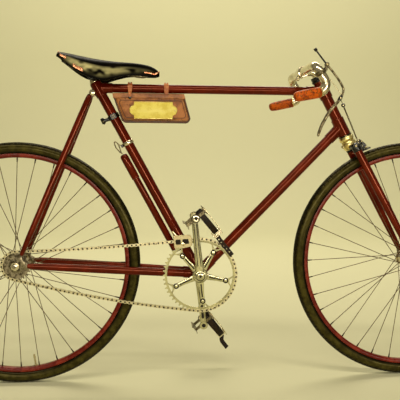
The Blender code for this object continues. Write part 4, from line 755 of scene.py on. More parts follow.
# ---------------------------------------------------------------- frame tubes, lugs and stays
SEAT_LOW, SEAT_HIGH, SEAT_RADIUS = rod_of("seat_tube", Vector((-1, 0, 0)))
SEAT_UP = (SEAT_HIGH - SEAT_LOW).normalized()
SEAT_BEHIND = SEAT_UP.cross(ACROSS)
TOP_REAR, TOP_FRONT, TOP_RADIUS = rod_of("top_tube")
DOWN_REAR, DOWN_FRONT, DOWN_RADIUS = rod_of("down_tube")
TOP_RUN = (TOP_FRONT - TOP_REAR).normalized()
DOWN_RUN = (DOWN_FRONT - DOWN_REAR).normalized()
HEAD_RADIUS = 0.0165
HEAD_FOOT = 0.0235
HEAD_TOP = float(((corners("head_tube") - np.array(CROWN)) @ np.array(STEER_UP)).max())
LUG_WALL = 0.0024
LUG_VOXEL = 0.0011


def meet(point, run, other, other_run):
    """Where one line comes nearest to another."""
    across = run.cross(other_run)
    share = (other - point).cross(other_run).dot(across) / across.length_squared
    return point + run * share


SEAT_CROSSING = meet(TOP_REAR, TOP_RUN, SEAT_LOW, SEAT_UP)


def by_seat_tube(up, behind=0.0, right=0.0):
    """A place measured up the seat tube from the crank axle, behind its centre line and to the right."""
    return BRACKET + SEAT_UP * up + SEAT_BEHIND * behind - ACROSS * right


def lug_socket(start, run, length, radius):
    """A lug's sleeve with a thinned mouth."""
    return rod(start, start + run * length, radius + LUG_WALL, radius + LUG_WALL * 0.8)


def lug(name, sleeves, node=()):
    """Sleeves brazed into one smooth enamelled lug."""
    done(cast(sleeves, LUG_VOXEL), name, "frame", ENAMEL, node, sharp=60)


def tubes():
    for name, low, high, radius in (("seat_tube", SEAT_LOW, SEAT_HIGH, SEAT_RADIUS),
            ("top_tube", TOP_REAR, TOP_FRONT, TOP_RADIUS), ("down_tube", DOWN_REAR, DOWN_FRONT, DOWN_RADIUS)):
        done(rod(low, high, radius, sides=64), name + "_drawn", "frame", ENAMEL, (name,))

    rim = HEAD_RADIUS + 0.0012
    profile = [(0.0127, 0), (rim, 0), (rim, 0.0035), (HEAD_RADIUS, 0.0045)]
    profile += [(radius, HEAD_TOP - HEAD_FOOT - up) for radius, up in reversed(profile)]
    done(turned(profile, in_steering(0, 0, HEAD_FOOT), STEER_UP, 64), "head_tube_drawn", "frame", ENAMEL,
        ("head_tube",))
    for name, front, run, radius, half in (("top", TOP_FRONT, -TOP_RUN, TOP_RADIUS, 0.0225),
            ("down", DOWN_FRONT, -DOWN_RUN, DOWN_RADIUS, 0.027)):
        crossing = meet(front, run, CROWN, STEER_UP)
        collar = rod(crossing - STEER_UP * half, crossing + STEER_UP * half, HEAD_RADIUS + LUG_WALL)
        sleeve = lug_socket(crossing + run * 0.008, run, 0.044, radius)
        lug(name + "_head_lug", [collar, sleeve])


def seat_cluster():
    up = (SEAT_CROSSING - BRACKET).dot(SEAT_UP)
    collar = rod(by_seat_tube(up - 0.026), by_seat_tube(up + 0.0165), SEAT_RADIUS + LUG_WALL)
    sleeve = lug_socket(SEAT_CROSSING, TOP_RUN, 0.042, TOP_RADIUS)
    bolt, behind = up - 0.006, 0.0205
    ear = rod(by_seat_tube(bolt, behind, 0.0095), by_seat_tube(bolt, behind, -0.0095), 0.0072)
    web = bar((by_seat_tube(bolt, 0.01), by_seat_tube(bolt, behind)), mm(7.5, 8), square=4)
    lug("seat_lug_brazed", [collar, sleeve, ear, web], ("seat_lug",))
    for name, side in SIDES:
        centre = by_seat_tube(bolt, behind, -0.0205 * side)
        cap = turned(mm((0, 3.4), (4, 3.2), (7.8, 1.8), (9, 0), (9, -4.5), (3.5, -4.5), (3.5, -11), (0, -11)),
            centre, ACROSS * side)
        done(cap, "seat_bolt_cap_" + name, "frame", NICKEL)


def bracket_shell():
    low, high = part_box("bottom_bracket")
    shell = rod(BRACKET + ACROSS * low.y, BRACKET + ACROSS * high.y, 0.02, sides=64)
    sleeves = [shell, lug_socket(BRACKET, SEAT_UP, 0.052, SEAT_RADIUS),
        lug_socket(BRACKET, DOWN_RUN, 0.054, DOWN_RADIUS)]
    for name, _ in SIDES:
        node = "chain_stay_" + name
        front, rear = end_of(node, 0, 1), end_of(node, 0, -1)
        run = (rear - front).normalized()
        sleeves.append(bar((front - run * 0.012, front + run * 0.026), mm(13.3, 8.8)))
    shell = cast(sleeves)
    done(shell, "bracket_shell", "frame", ENAMEL, ("bottom_bracket",), sharp=60)
    for name, side in SIDES:
        edge = high.y if side > 0 else -low.y
        cup = turned(mm((9.5, 0.4), (16.5, 0.4), (19.2, 0), (20, -2), (20, -5.5), (9.5, -5.5)),
            BRACKET + ACROSS * side * (edge + 0.0014), ACROSS * side, 48)
        done(cup, "bracket_cup_" + name, "frame", STEEL)


def stays():
    for name, _ in SIDES:
        front, rear = end_of("chain_stay_" + name, 0, 1), end_of("chain_stay_" + name, 0, -1)
        path = [front.lerp(rear, share) for share in (0, 0.3, 0.62, 0.78, 0.9, 0.965, 1)]
        sizes = mm((11.5, 7), (11.5, 7), (11.2, 6.8), (10.6, 6.6), (9.8, 6.3), (8.8, 6), (6, 4.8))
        done(bar(path, sizes, sides=48), "chain_stay_tapered_" + name, "frame", ENAMEL,
            ("chain_stay_" + name,), sharp=50)

        low, high = end_of("seat_stay_" + name, 2, -1, 0.003), end_of("seat_stay_" + name, 2, 1, 0.003)
        path = [low.lerp(high, share) for share in (0, 0.015, 0.05, 0.12, 0.4, 0.66, 0.86, 0.97, 0.995, 1)]
        sizes = mm((4.5, 4.5), (6.2, 5.8), (7, 6.6), (8.2, 8), (9, 8.6), (9.4, 8.6), (9.2, 8), (8.4, 7),
            (6.4, 6), (3, 3))
        done(bar(path, sizes, sides=48), "seat_stay_tapered_" + name, "frame", ENAMEL, ("seat_stay_" + name,),
            sharp=50)

    low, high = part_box("seat_stay_bridge")
    middle = (low + high) / 2
    half = (high.y - low.y) / 2
    path = [middle + ACROSS * half * share for share in (-1, -0.93, -0.8, -0.3, 0.3, 0.8, 0.93, 1)]
    sizes = [(r, r) for r in (0.0085, 0.0074, 0.006, 0.0052, 0.0052, 0.006, 0.0074, 0.0085)]
    done(bar(path, sizes, across=AHEAD), "stay_bridge_flared", "frame", ENAMEL, ("seat_stay_bridge",),
        sharp=60)


def rear_ends():
    """Forged dropouts, and the rear axle with its washers and nuts."""
    for name, _ in SIDES:
        low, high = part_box("dropout_" + name)
        outline = arc(0.017, 80, 321, 10)
        outline += mm((32.5, -9.5), (34.5, -7.5), (34.5, 8.5), (32.5, 10.5), (24.5, 14), (20.5, 19),
            (19.5, 30), (18, 33.5), (10, 36), (7.5, 34), (6, 24))
        plate = extruded(outline, low.y, high.y, REAR)
        hole = rod(REAR + ACROSS * (low.y - 0.001), REAR + ACROSS * (high.y + 0.001), 0.0053, sides=48)
        plate = softened(cut(plate, hole), 0.0009)
        done(plate, "dropout_forged_" + name, "frame", STEEL, ("dropout_" + name,))
    axle("rear_axle", REAR, "frame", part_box("dropout_right")[0].y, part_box("dropout_left")[1].y)


def axle(node, centre, body, right_face, left_face):
    """A threaded axle with a washer and a six-sided nut outside each of the ends that hold it."""
    low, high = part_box(node)
    threaded = turned(thread_profile(low.y, high.y, 0.0046, 0.005), centre, ACROSS, 24)
    done(threaded, node + "_threaded", body, STEEL, (node,), sharp=20)
    for name, face, side, end in (("right", right_face, -1, low.y), ("left", left_face, 1, high.y)):
        washer = turned(mm((5.1, 0), (11.2, 0), (11.2, 1.3), (5.1, 1.3)),
            centre + ACROSS * (face + side * 0.0002), ACROSS * side, 40)
        depth = min(0.0095, abs(end - face) - 0.0035)
        start = face + side * 0.0015
        nut = extruded(arc(0.0098, 12, 372, 60), *sorted((start, start + side * depth)), centre)
        done([washer, softened(nut, 0.0009)], node + "_nut_" + name, body, NICKEL)


def thread_profile(low, high, root, crest):
    """The section of a threaded rod from low to high."""
    pitch = 0.0013
    turns = int((high - low) / pitch)
    points = [(0, low), (root, low)]
    for i in range(turns):
        points += [(crest, low + (i + 0.35) * pitch), (root, low + (i + 0.85) * pitch)]
    return points + [(root, high), (0, high)]


tubes()
seat_cluster()
bracket_shell()
stays()
rear_ends()


# ---------------------------------------------------------------- chain, chainring and sprocket
CHAINLINE = -0.046
PITCH = 0.0127
RING_TEETH = 52
SPROCKET_TEETH = 20
RING_RADIUS = PITCH / (2 * sin(pi / RING_TEETH))
SPROCKET_RADIUS = PITCH / (2 * sin(pi / SPROCKET_TEETH))
ROLLER_RADIUS = 0.0039
UPPER_SAG = 0.006
LOWER_SAG = 0.01
CRANK_RUN = (AXES["pedal_right_spin"] - BRACKET) * SIDE_VIEW
CRANK_TURN = atan2(CRANK_RUN.z, CRANK_RUN.x)
SPIDER_FIRST = CRANK_TURN + pi / 5
CRANK_MIDDLE = BRACKET * SIDE_VIEW
HUB_MIDDLE = REAR * SIDE_VIEW
APART = CRANK_MIDDLE - HUB_MIDDLE
LEAN = atan2(APART.z, APART.x)
SPREAD = asin((RING_RADIUS - SPROCKET_RADIUS) / APART.length)
# the angles at which the chain leaves both toothed wheels, above and below
UPPER = LEAN + pi / 2 + SPREAD
LOWER = LEAN - pi / 2 - SPREAD


def chain_pins():
    """Places of the chain's pins: one a tooth on the ring and the sprocket, evenly spread between them."""
    ring_step = 2 * pi / RING_TEETH
    on_ring = int((UPPER - LOWER) / ring_step)
    pins = [CRANK_MIDDLE + polar(RING_RADIUS, UPPER - ring_step * (on_ring - i)) for i in range(on_ring + 1)]
    sprocket_step = 2 * pi / SPROCKET_TEETH
    on_sprocket = int((LOWER + 2 * pi - UPPER) / sprocket_step)
    around = [HUB_MIDDLE + polar(SPROCKET_RADIUS, UPPER + sprocket_step * i) for i in range(on_sprocket + 1)]
    links = on_ring + on_sprocket
    first = sagging(pins[-1], around[0], UPPER_SAG)
    second = sagging(around[-1], pins[0], LOWER_SAG, HUB_MIDDLE + polar(SPROCKET_RADIUS, LOWER))
    first_links = round(run_length(first) / PITCH)
    second_links = round(run_length(second) / PITCH)
    second_links += (links + first_links + second_links) % 2
    pins += spaced(first, first_links)[1:-1] + around + spaced(second, second_links)[1:-1]
    return [pin + ACROSS * CHAINLINE for pin in pins]


def sagging(start, end, sag, through=None):
    """A slack run between two pins, 60 points of it, leaving a round where it is told to."""
    begin = through or start
    run = [begin.lerp(end, i / 60) - Vector((0, 0, sag * 4 * (i / 60) * (1 - i / 60))) for i in range(61)]
    return ([start] if through else []) + run


def run_length(points):
    return sum((b - a).length for a, b in zip(points, points[1:]))


def spaced(points, count):
    """The run cut into count equal lengths."""
    lengths = np.cumsum([0] + [(b - a).length for a, b in zip(points, points[1:])])
    wanted = np.linspace(0, lengths[-1], count + 1)
    table = np.array([tuple(point) for point in points])
    return [Vector([float(np.interp(place, lengths, table[:, axis])) for axis in range(3)])
        for place in wanted]


def link_plate(thick):
    """One waisted side plate between two pins, in the side view."""
    outline = []
    for end in (1, -1):
        for i in range(9):
            angle = radians(-90 + 22.5 * i)
            outline.append((end * (PITCH / 2 + 0.004 * cos(angle)), end * 0.0042 * sin(angle)))
        outline.append((0, end * 0.003))
    return extruded(outline, -thick / 2, thick / 2)


def chain_tree():
    """Rollers, pins and plates along a closed row of pins: plates wide and narrow by turns."""
    tree, take = new_tree("roller_chain",
        (("Mesh", "Geometry", None), ("Pins", "Int", 118), ("Plate", "Object", None),
            ("Inner", "Float", 0.0021), ("Outer", "Float", 0.0032), ("Roller", "Float", ROLLER_RADIUS),
            ("Pin", "Float", 0.0019), ("Width", "Float", 0.0075), ("Pin Finish", "Material", None)))
    index = add(tree, "InputIndex")
    here = add(tree, "InputPosition")
    ahead = add(tree, "IntegerMath", index, 1, operation="ADD")
    ahead = add(tree, "IntegerMath", ahead, take["Pins"], operation="MODULO")
    there = add(tree, "SampleIndex", Geometry=take["Mesh"], Value=here, Index=ahead, data_type="FLOAT_VECTOR")
    run = add(tree, "VectorMath", there, here, operation="SUBTRACT")
    turn = add(tree, "AlignRotationToVector", Vector=run, axis="X", pivot_axis="Y")
    half_way = add(tree, "VectorMath", run, (0.5, 0.5, 0.5), here, operation="MULTIPLY_ADD")
    even = add(tree, "IntegerMath", index, 2, operation="MODULO")
    off = add(tree, "MapRange", even, 0, 1, take["Inner"], take["Outer"])
    plate = add(tree, "ObjectInfo", take["Plate"], out="Geometry")
    plates, rounds = [], []
    for side in (1, -1):
        place = add(tree, "CombineXYZ", 0.0, add(tree, "Math", off, side, operation="MULTIPLY"), 0.0)
        place = add(tree, "VectorMath", half_way, place, operation="ADD")
        moved = add(tree, "SetPosition", Geometry=take["Mesh"], Position=place)
        points = add(tree, "MeshToPoints", Mesh=moved)
        plates.append(add(tree, "InstanceOnPoints", Points=points, Instance=plate, Rotation=turn))
    pins = add(tree, "MeshToPoints", Mesh=take["Mesh"])
    double = add(tree, "Math", take["Inner"], 2.0, operation="MULTIPLY")
    for radius, length, sides in (("Roller", double, 12), ("Pin", take["Width"], 10)):
        barrel = add(tree, "MeshCylinder", Vertices=sides, Radius=take[radius], Depth=length)
        rounds.append(add(tree, "InstanceOnPoints", Points=pins, Instance=barrel, Rotation=(pi / 2, 0, 0)))
    return finish_tree(tree, (take["Finish"], *plates), (take["Pin Finish"], *rounds))


def chain():
    pins = chain_pins()
    bm = bmesh.new()
    loop = [bm.verts.new(pin) for pin in pins]
    for a, b in zip(loop, loop[1:] + loop[:1]):
        bm.edges.new((a, b))
    host = solid(bm, tidy=False)
    plate = link_plate(0.0009)
    # The rollers and pins take the dark finish: old oil, and painted shade in the gaps between the plates.
    made = grown(chain_tree(), CHAIN_STEEL, host=host, Pins=len(pins), Plate=plate, Pin=0.0027,
        Pin_Finish=SHADE_AND_GRIME)
    bpy.data.objects.remove(plate, do_unlink=True)
    done(made, "roller_chain", "frame", None, ("chain",))


def toothed(teeth, pitch_radius, bore, low, high, centre, phase):
    """A flat toothed ring; phase is the angle of one chain pin's seat."""
    bevel = 0.0005
    outer = []
    step = 2 * pi / teeth
    root = pitch_radius - ROLLER_RADIUS
    tip = pitch_radius + 0.0027
    for i in range(teeth):
        seat = phase + i * step
        for share, radius in ((-0.28, root + 0.0022), (-0.16, root + 0.0004), (0.0, root),
                (0.16, root + 0.0004), (0.28, root + 0.0022), (0.37, tip - 0.001), (0.43, tip), (0.57, tip),
                (0.63, tip - 0.001)):
            outer.append((radius, seat + share * step))
    rings = []
    for side, drop in ((low, bevel), (low + bevel, 0), (high - bevel, 0), (high, bevel)):
        rings.append([centre + polar(r - (drop if r > root + 0.001 else 0), a, side) for r, a in outer])
    for side in (high, low):
        rings.append([centre + polar(bore, a, side) for _, a in outer])
    return skin(rings, closed=True)


def y_web(angle, low, high):
    """The ring's forked web at one bolt: a round boss and two curved legs out to the rim."""
    leg = mm((80, 5.8), (85.2, 8.5), (91.2, 13.5))
    leg += [(radius * cos(turn), radius * sin(turn)) for radius, turn in ((0.0968, 0.2), (0.0965, 0.13))]
    leg += mm((91.2, 8.2), (87.8, 3.4))
    outline = [(0.0755 + x, z) for x, z in arc(0.0065, 100, 261, 20)]
    outline += [(x, -z) for x, z in leg] + mm((86.8, 0)) + leg[::-1]
    return extruded(outline, low, high, BRACKET, angle)


def chainring():
    low, high = CHAINLINE - 0.00125, CHAINLINE + 0.00125
    ring = toothed(RING_TEETH, RING_RADIUS, 0.0952, low, high, BRACKET, UPPER)
    lip = turned(past(low, (95.4, -0.5), (97.2, -0.5), (97.8, 0), (97.2, 1.2), (95.4, 1.2)), BRACKET,
        steps=120)
    webs = [softened(y_web(SPIDER_FIRST + 2 * pi * i / 5, low, high), 0.0004, 1) for i in range(5)]
    done([ring, lip, *webs], "toothed_chainring", "crankset", ALLOY, ("chainring",), sharp=30)

    sprocket = toothed(SPROCKET_TEETH, SPROCKET_RADIUS, 0.02, CHAINLINE - 0.0011, CHAINLINE + 0.0011, REAR,
        UPPER)
    low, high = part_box("rear_sprocket")
    body = turned(past(high.y, (5.6, 0), (20.5, 0), (21, -1)) + past(CHAINLINE, (21, -3))
        + past(low.y, (18, 0.6), (17.2, 0), (5.6, 0)), REAR, steps=64)
    groove = turned(past(low.y, (12.8, -0.2), (14.2, -0.2), (14.2, 1.2), (12.8, 1.2)), REAR, steps=48)
    body = cut(body, groove)
    done([sprocket, body], "freewheel_sprocket", "rear_wheel", STEEL, ("rear_sprocket",), sharp=30)


# ---------------------------------------------------------------- cranks
CRANK_INNER = 0.06
CRANK_OUTER = 0.0735


def slot_tool(start, end, half_width, depth_middle, depth):
    """A round-ended cutter that lies in a side face and leaves its groove painted dark as shade."""
    run = (end - start).normalized()
    turn = atan2(run.z, run.x)
    length = (end - start).length
    outline = arc(half_width, 90, 271, 20)
    outline += [(length + x, z) for x, z in arc(half_width, -90, 91, 20)]
    return painted(extruded(outline, depth_middle - depth, depth_middle + depth, start, turn), SHADE_AND_GRIME)


def crank(name, side, run):
    """A forged arm with a fluted face, its square-taper boss and its pedal eye."""
    arm_end = run * 0.175
    middle = side * (CRANK_INNER + CRANK_OUTER) / 2
    path = [CRANK_MIDDLE + run * at + ACROSS * middle for at in (0.0, 0.02, 0.06, 0.11, 0.155, 0.172)]
    half = 0.00675
    sizes = [(0.0128, half), (0.0122, half), (0.0106, half * 0.96), (0.0094, half * 0.9),
        (0.009, half * 0.88), (0.0088, half * 0.9)]
    arm = painted(bar(path, sizes, sides=40, square=3.6), ALLOY)
    above = ACROSS.cross(run)
    # The flute grooves are painted dark as shade: a wide one in the inner face, two narrow ones in the outer
    # face beside a bright rib.
    tools = [slot_tool(CRANK_MIDDLE + run * 0.03, CRANK_MIDDLE + run * 0.15, 0.0036,
            side * (CRANK_INNER + 0.0002), 0.0018)]
    for off in (-0.0044, 0.0044):
        tools.append(slot_tool(CRANK_MIDDLE + run * 0.03 + above * off,
                CRANK_MIDDLE + run * 0.15 + above * off * 0.82, 0.0011, side * (CRANK_OUTER - 0.0006),
                0.0022))
    arm = softened(cut(arm, *tools), 0.0003, 1, 60)
    inner = CRANK_INNER - (0.009 if side < 0 else 0.003)
    boss = turned(past(inner, (8.8, 0), (15, 0), (16.5, 1.5))
        + past(CRANK_OUTER, (16.5, -1), (15.6, 1.2), (14.2, 1.8), (12.4, 1.8), (11.8, 0.4), (8.8, 0.4)),
        CRANK_MIDDLE, ACROSS * side, 64)
    cap = turned(past(CRANK_OUTER, (0, 3.4), (3.6, 3.2), (4.2, 1.8), (5.8, 1.8), (6.4, 3), (9.8, 2.6),
            (11.6, 1.4), (11.6, -4), (0, -4)), CRANK_MIDDLE, ACROSS * side, 48)
    # gap, hole and key are painted shade: a dark ring between the boss and the cap, a dark disc in the cap's
    # hole and a dark disc in the eye's recess.
    gap = turned(past(CRANK_OUTER, (11.8, 0.8), (13.2, 2.2), (11.8, 2)), CRANK_MIDDLE, ACROSS * side, 48)
    hole = turned(past(CRANK_OUTER, (0, 3.6), (4, 3.6), (4, 0), (0, 0)), CRANK_MIDDLE, ACROSS * side, 24)
    key = turned(past(CRANK_INNER, (0, -0.4), (5.2, -0.4), (6, 2), (0, 2)), CRANK_MIDDLE + arm_end,
        ACROSS * side, 24)
    eye = turned(past(CRANK_INNER, (6.2, 0), (11.2, 0), (12.4, 1.2))
        + past(CRANK_OUTER, (12.5, -1.4), (11.4, 0), (6.2, 0)), CRANK_MIDDLE + arm_end, ACROSS * side, 56)
    pieces = [arm, boss, cap, eye] + [painted(part, SHADE_AND_GRIME) for part in (gap, hole, key)]
    if side < 0:
        pieces += spider()
    done(pieces, "crank_forged_" + name, "crankset", ALLOY, ("crank_" + name,), sharp=30)


def spider():
    """Five grooved arms behind the crank, on a round hub, each with its ring bolt."""
    ring_face = CHAINLINE - 0.00155
    middle = ring_face - 0.0033
    hub = turned(past(ring_face, (8.8, -0.1), (20.5, -0.1), (22.5, -1.8), (22.2, -6.8), (19.5, -9.4),
            (8.8, -9.4)), CRANK_MIDDLE, ACROSS, 64)
    # A dark ring painted as shade round the hub.
    line = turned(past(ring_face, (18.6, -9.2), (20.4, -9), (20.4, -8), (18.6, -8)), CRANK_MIDDLE, ACROSS, 64)
    pieces = [hub, painted(line, SHADE_AND_GRIME)]
    for i in range(5):
        angle = SPIDER_FIRST + 2 * pi * i / 5
        stations = (0.01, 0.03, 0.052, 0.068, 0.0755, 0.081)
        path = [CRANK_MIDDLE + polar(at, angle, middle) for at in stations]
        sizes = mm((10.5, 3.3), (8, 3.3), (6.2, 3.1), (6.2, 3), (6.4, 3), (4, 2.8))
        arm = painted(bar(path, sizes, sides=28, square=4), ALLOY)
        # Each arm's groove is painted dark as shade.
        groove = slot_tool(CRANK_MIDDLE + polar(0.027, angle), CRANK_MIDDLE + polar(0.063, angle), 0.0019,
            middle - 0.0034, 0.0022)
        pieces.append(cut(arm, groove))
        bolt = CRANK_MIDDLE + polar(0.0755, angle, middle)
        nut = turned(mm((0, -5.6), (2.4, -5.6), (2.8, -6.4), (4.2, -6.2), (4.8, -5.2), (4.8, -2.6),
                (0, -2.6)), bolt, ACROSS, 28)
        # A dark washer painted as the shade round each ring bolt.
        shade = turned(mm((4.7, -4.2), (8, -3.8), (8, -2.4), (4.7, -2.4)), bolt, ACROSS, 28)
        head = turned(mm((0, 6.6), (5, 6.6), (5.6, 5.6), (5.6, 3), (0, 3)), bolt, ACROSS, 28)
        pieces += [nut, painted(shade, SHADE_AND_GRIME), head]
    return pieces


def crank_spindle():
    low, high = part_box("crank_axle")
    profile = past(low.y, (0, 0), (7.8, 0), (8.5, 2)) + mm((8.5, -22), (7.5, -20), (7.5, 20),
        (8.5, 22)) + past(high.y, (8.5, -2), (7.8, 0), (0, 0))
    done(turned(profile, CRANK_MIDDLE, ACROSS, 48), "crank_spindle", "crankset", STEEL, ("crank_axle",))


chain()
chainring()
for name, side in SIDES:
    crank(name, side, CRANK_RUN.normalized() * -side)
crank_spindle()


# ---------------------------------------------------------------- pedals
PEDAL_TURN = radians(39.5)
PEDAL_INNER = 0.0855
PEDAL_OUTER = 0.1635
PEDAL_HALF = 0.032
STRAP_TAILS = {"right": (0.0115, 0.147), "left": (0.005, 0.116)}


def in_pedal(name):
    """Gives the function that turns (ahead, out, up) in a pedal's own frame into a place; out is from the
    middle plane."""
    centre = AXES["pedal_" + name + "_spin"]
    c, s = cos(PEDAL_TURN), sin(PEDAL_TURN)
    return lambda ahead, out, up: Vector((centre.x + ahead * c - up * s, out, centre.z + ahead * s + up * c))


def cage_plate(name, side, front):
    """A rat-trap plate: toothed long edges turned outwards, and three long windows."""
    at = in_pedal(name)
    columns = 53
    heights = (-0.0125, -0.0104, -0.0086, -0.0045, 0.0045, 0.0086, 0.0104, 0.0125)
    flare = (0.003, 0.0019, 0.0008, 0, 0, 0.0008, 0.0019, 0.003)
    bm = bmesh.new()
    rows = []
    for j, (up, out) in enumerate(zip(heights, flare)):
        row = []
        for i in range(columns):
            across = PEDAL_INNER + 0.001 + (PEDAL_OUTER - PEDAL_INNER - 0.002) * i / (columns - 1)
            dip = 0.0021 * (1 if up > 0 else -1) if j in (0, 7) and i % 4 >= 2 else 0
            ahead = (PEDAL_HALF - 0.001 + out) * (1 if front else -1)
            row.append(bm.verts.new(at(ahead, side * across, up - dip)))
        rows.append(row)
    for j in range(7):
        for i in range(columns - 1):
            if j == 3 and i % 17 not in (0, 1, 2, 16):
                continue
            bm.faces.new((rows[j][i], rows[j][i + 1], rows[j + 1][i + 1], rows[j + 1][i]))
    return thickened(solid(bm), 0.0015, 0)


def bracket_plate(name, low, high):
    """An end bracket: a strip from cage plate to cage plate that swells to a ring round the barrel."""
    centre = in_pedal(name)(0, 0, 0)
    half = [(-PEDAL_HALF + 0.001, -0.0042), (-0.014, -0.0045), *arc(0.0108, -150, -29, 15), (0.014, -0.0045),
        (PEDAL_HALF - 0.001, -0.0042)]
    outline = half + [(-x, -z) for x, z in half]
    return softened(extruded(outline, *sorted((low, high)), centre, PEDAL_TURN), 0.0005, 1, 30)


def pedal(name, side):
    body = "pedal_" + name + "_body"
    at = in_pedal(name)
    centre = at(0, 0, 0)
    plates = [cage_plate(name, side, True), cage_plate(name, side, False)]
    for low, high in ((PEDAL_INNER, PEDAL_INNER + 0.002), (PEDAL_OUTER - 0.002, PEDAL_OUTER)):
        plates.append(bracket_plate(name, side * low, side * high))
    for ahead in (-1, 1):
        for place in (PEDAL_INNER + 0.005, PEDAL_OUTER - 0.005):
            base = at(ahead * (PEDAL_HALF - 0.0006), side * place, 0)
            out = at(ahead * (PEDAL_HALF + 0.0014), side * place, 0)
            plates.append(rod(base, out, 0.0021, 0.0016, sides=12))
    cage = joined(plates)
    done(cage, "pedal_cage_" + name, body, CAGE_STEEL, ("pedal_" + name,), sharp=30)

    barrel = turned(mm((4.4, 73.8), (6.8, 73.8), (6.8, 76.6), (6.2, 77.2))
        + past(PEDAL_INNER, (6.2, -3.5), (8.8, -3), (9.8, -1.6), (9.8, 9), (8.6, 13), (7.8, 20))
        + past(PEDAL_OUTER, (7.6, -20), (8.4, -12), (9.4, -8), (9.4, -0.5), (4.4, -0.5)), centre,
        ACROSS * side, 40)
    cap = turned(past(PEDAL_OUTER, (0, 1), (4.2, 1), (4.6, 3.4), (6, 3.8), (8.2, 3.4), (9.6, 1.8), (9.8, -4),
            (0, -4)), centre, ACROSS * side, 40)
    # hole is a dark disc painted as the shade in the cap's hole, and seat is a dark ring painted as the shade
    # between the cap and the end bracket.
    hole = turned(past(PEDAL_OUTER, (0, 1.8), (4.6, 1.8), (4.6, 0), (0, 0)), centre, ACROSS * side, 24)
    seat = turned(past(PEDAL_OUTER, (9.7, 0.8), (11.6, 0.4), (11.6, -1), (9.7, -1)), centre, ACROSS * side,
        40)
    done([barrel, cap, painted(hole, SHADE_AND_GRIME), painted(seat, SHADE_AND_GRIME)], "pedal_barrel_" + name, body, NICKEL,
        sharp=30)
    toe_clip(name, side, body)
    toe_strap(name, side, body)


def toe_clip(name, side, body):
    """A sprung steel toe clip: two bars from the front plate that meet in a loop for the strap."""
    at = in_pedal(name)
    middle = (PEDAL_INNER + PEDAL_OUTER) / 2
    pieces = []
    for edge in (-1, 1):
        stations = mm((33.5, 7.2, 8), (34.5, 7.4, -8), (34.5, 6.8, -30), (34, 5.6, -52), (32.5, 5, -70),
            (30.5, 4.8, -80))
        path = smooth_path([at(a, side * (middle + edge * out), up) for a, out, up in stations], 6)
        pieces.append(bar(path, mm(0.8, 2.1), sides=12, square=4))
    ends = [at(0.0305, side * (middle + edge * 0.0075), -0.0805) for edge in (-1, 1)]
    pieces.append(rod(*ends, 0.0014, sides=12))
    for up in (0.005, -0.0015):
        for edge in (-1, 1):
            base = at(0.032, side * (middle + edge * 0.0073), up)
            tip = at(0.0362, side * (middle + edge * 0.0073), up)
            pieces.append(rod(base, tip, 0.0019, sides=10))
    done(pieces, "toe_clip_" + name, body, DULL_NICKEL, sharp=40)


def toe_strap(name, side, body):
    """A leather loop through the pedal, its buckle and keeper, and its punched tail."""
    at = in_pedal(name)
    ahead = 0.0185
    middle = side * (PEDAL_INNER + PEDAL_OUTER) / 2
    leg_in = side * (PEDAL_INNER + 0.00385)
    leg_out = side * (PEDAL_OUTER - 0.00385)
    loop = ((leg_in, 0.008), (leg_in, -0.018), (leg_in + side * 0.004, -0.04),
        (middle - side * 0.016, -0.066), (middle, -0.073), (middle + side * 0.016, -0.066),
        (leg_out - side * 0.004, -0.04), (leg_out, -0.018), (leg_out, 0.008))
    along = at(1, 0, 0) - at(0, 0, 0)
    path = smooth_path([at(ahead, out, up) for out, up in loop], 8)
    belt = bar(path, mm(1.15, 8.5), across=along, sides=16, square=5)

    tail_ahead, below = STRAP_TAILS[name]
    tail = ((ahead - 0.001, middle, -0.07), (ahead - 0.002, middle, -0.076),
        (tail_ahead + 0.0015, middle - side * 0.001, -0.088),
        (tail_ahead, middle - side * 0.003, -below + 0.004), (tail_ahead, middle - side * 0.003, -below))
    tail_path = smooth_path([at(*place) for place in tail], 8)
    sizes = mm((1, 6.6)) * (len(tail_path) - 3) + mm((1, 6.2), (1, 5), (0.9, 3))
    tongue = bar(tail_path, sizes, across=along, sides=16, square=5)
    holes = []
    for i in range(6):
        up = -0.09 - 0.0115 * i
        if up > -below + 0.008:
            holes.append(rod(at(tail_ahead, middle - 0.01, up), at(tail_ahead, middle + 0.01, up), 0.0021,
                    sides=14))
    tongue = cut(tongue, *holes)
    done([belt, tongue], "toe_strap_leather_" + name, body, TOE_HIDE, ("pedal_strap_" + name,), sharp=40)

    face = middle + side * 0.018
    frame_path = [(ahead + x, z) for x, z in rounded(mm((-12, -78), (12, -78), (12, -60), (-12, -60)), 0.003,
            3)]
    ring = bar([at(a, face, z) for a, z in frame_path], mm(1.7, 1.5), sides=10, closed=True)
    roller = rod(at(ahead - 0.011, face, -0.069), at(ahead + 0.011, face, -0.069), 0.0021, sides=14)
    prong = rod(at(ahead, face, -0.069), at(ahead, face - 0.0005, -0.0785), 0.0011, 0.0008, sides=10)
    keeper_path = [at(ahead + x, out, -0.0745)
        for x, out in ((-0.0105, middle - side * 0.004), (-0.0105, face), (0.0105, face),
            (0.0105, middle - side * 0.004))]
    keeper = bar(keeper_path, mm(0.9, 2.2), across=at(0, 0, 1) - at(0, 0, 0), sides=10, square=4, closed=True)
    done([ring, roller, prong, keeper], "toe_strap_buckle_" + name, body, NICKEL,
        sharp=40)


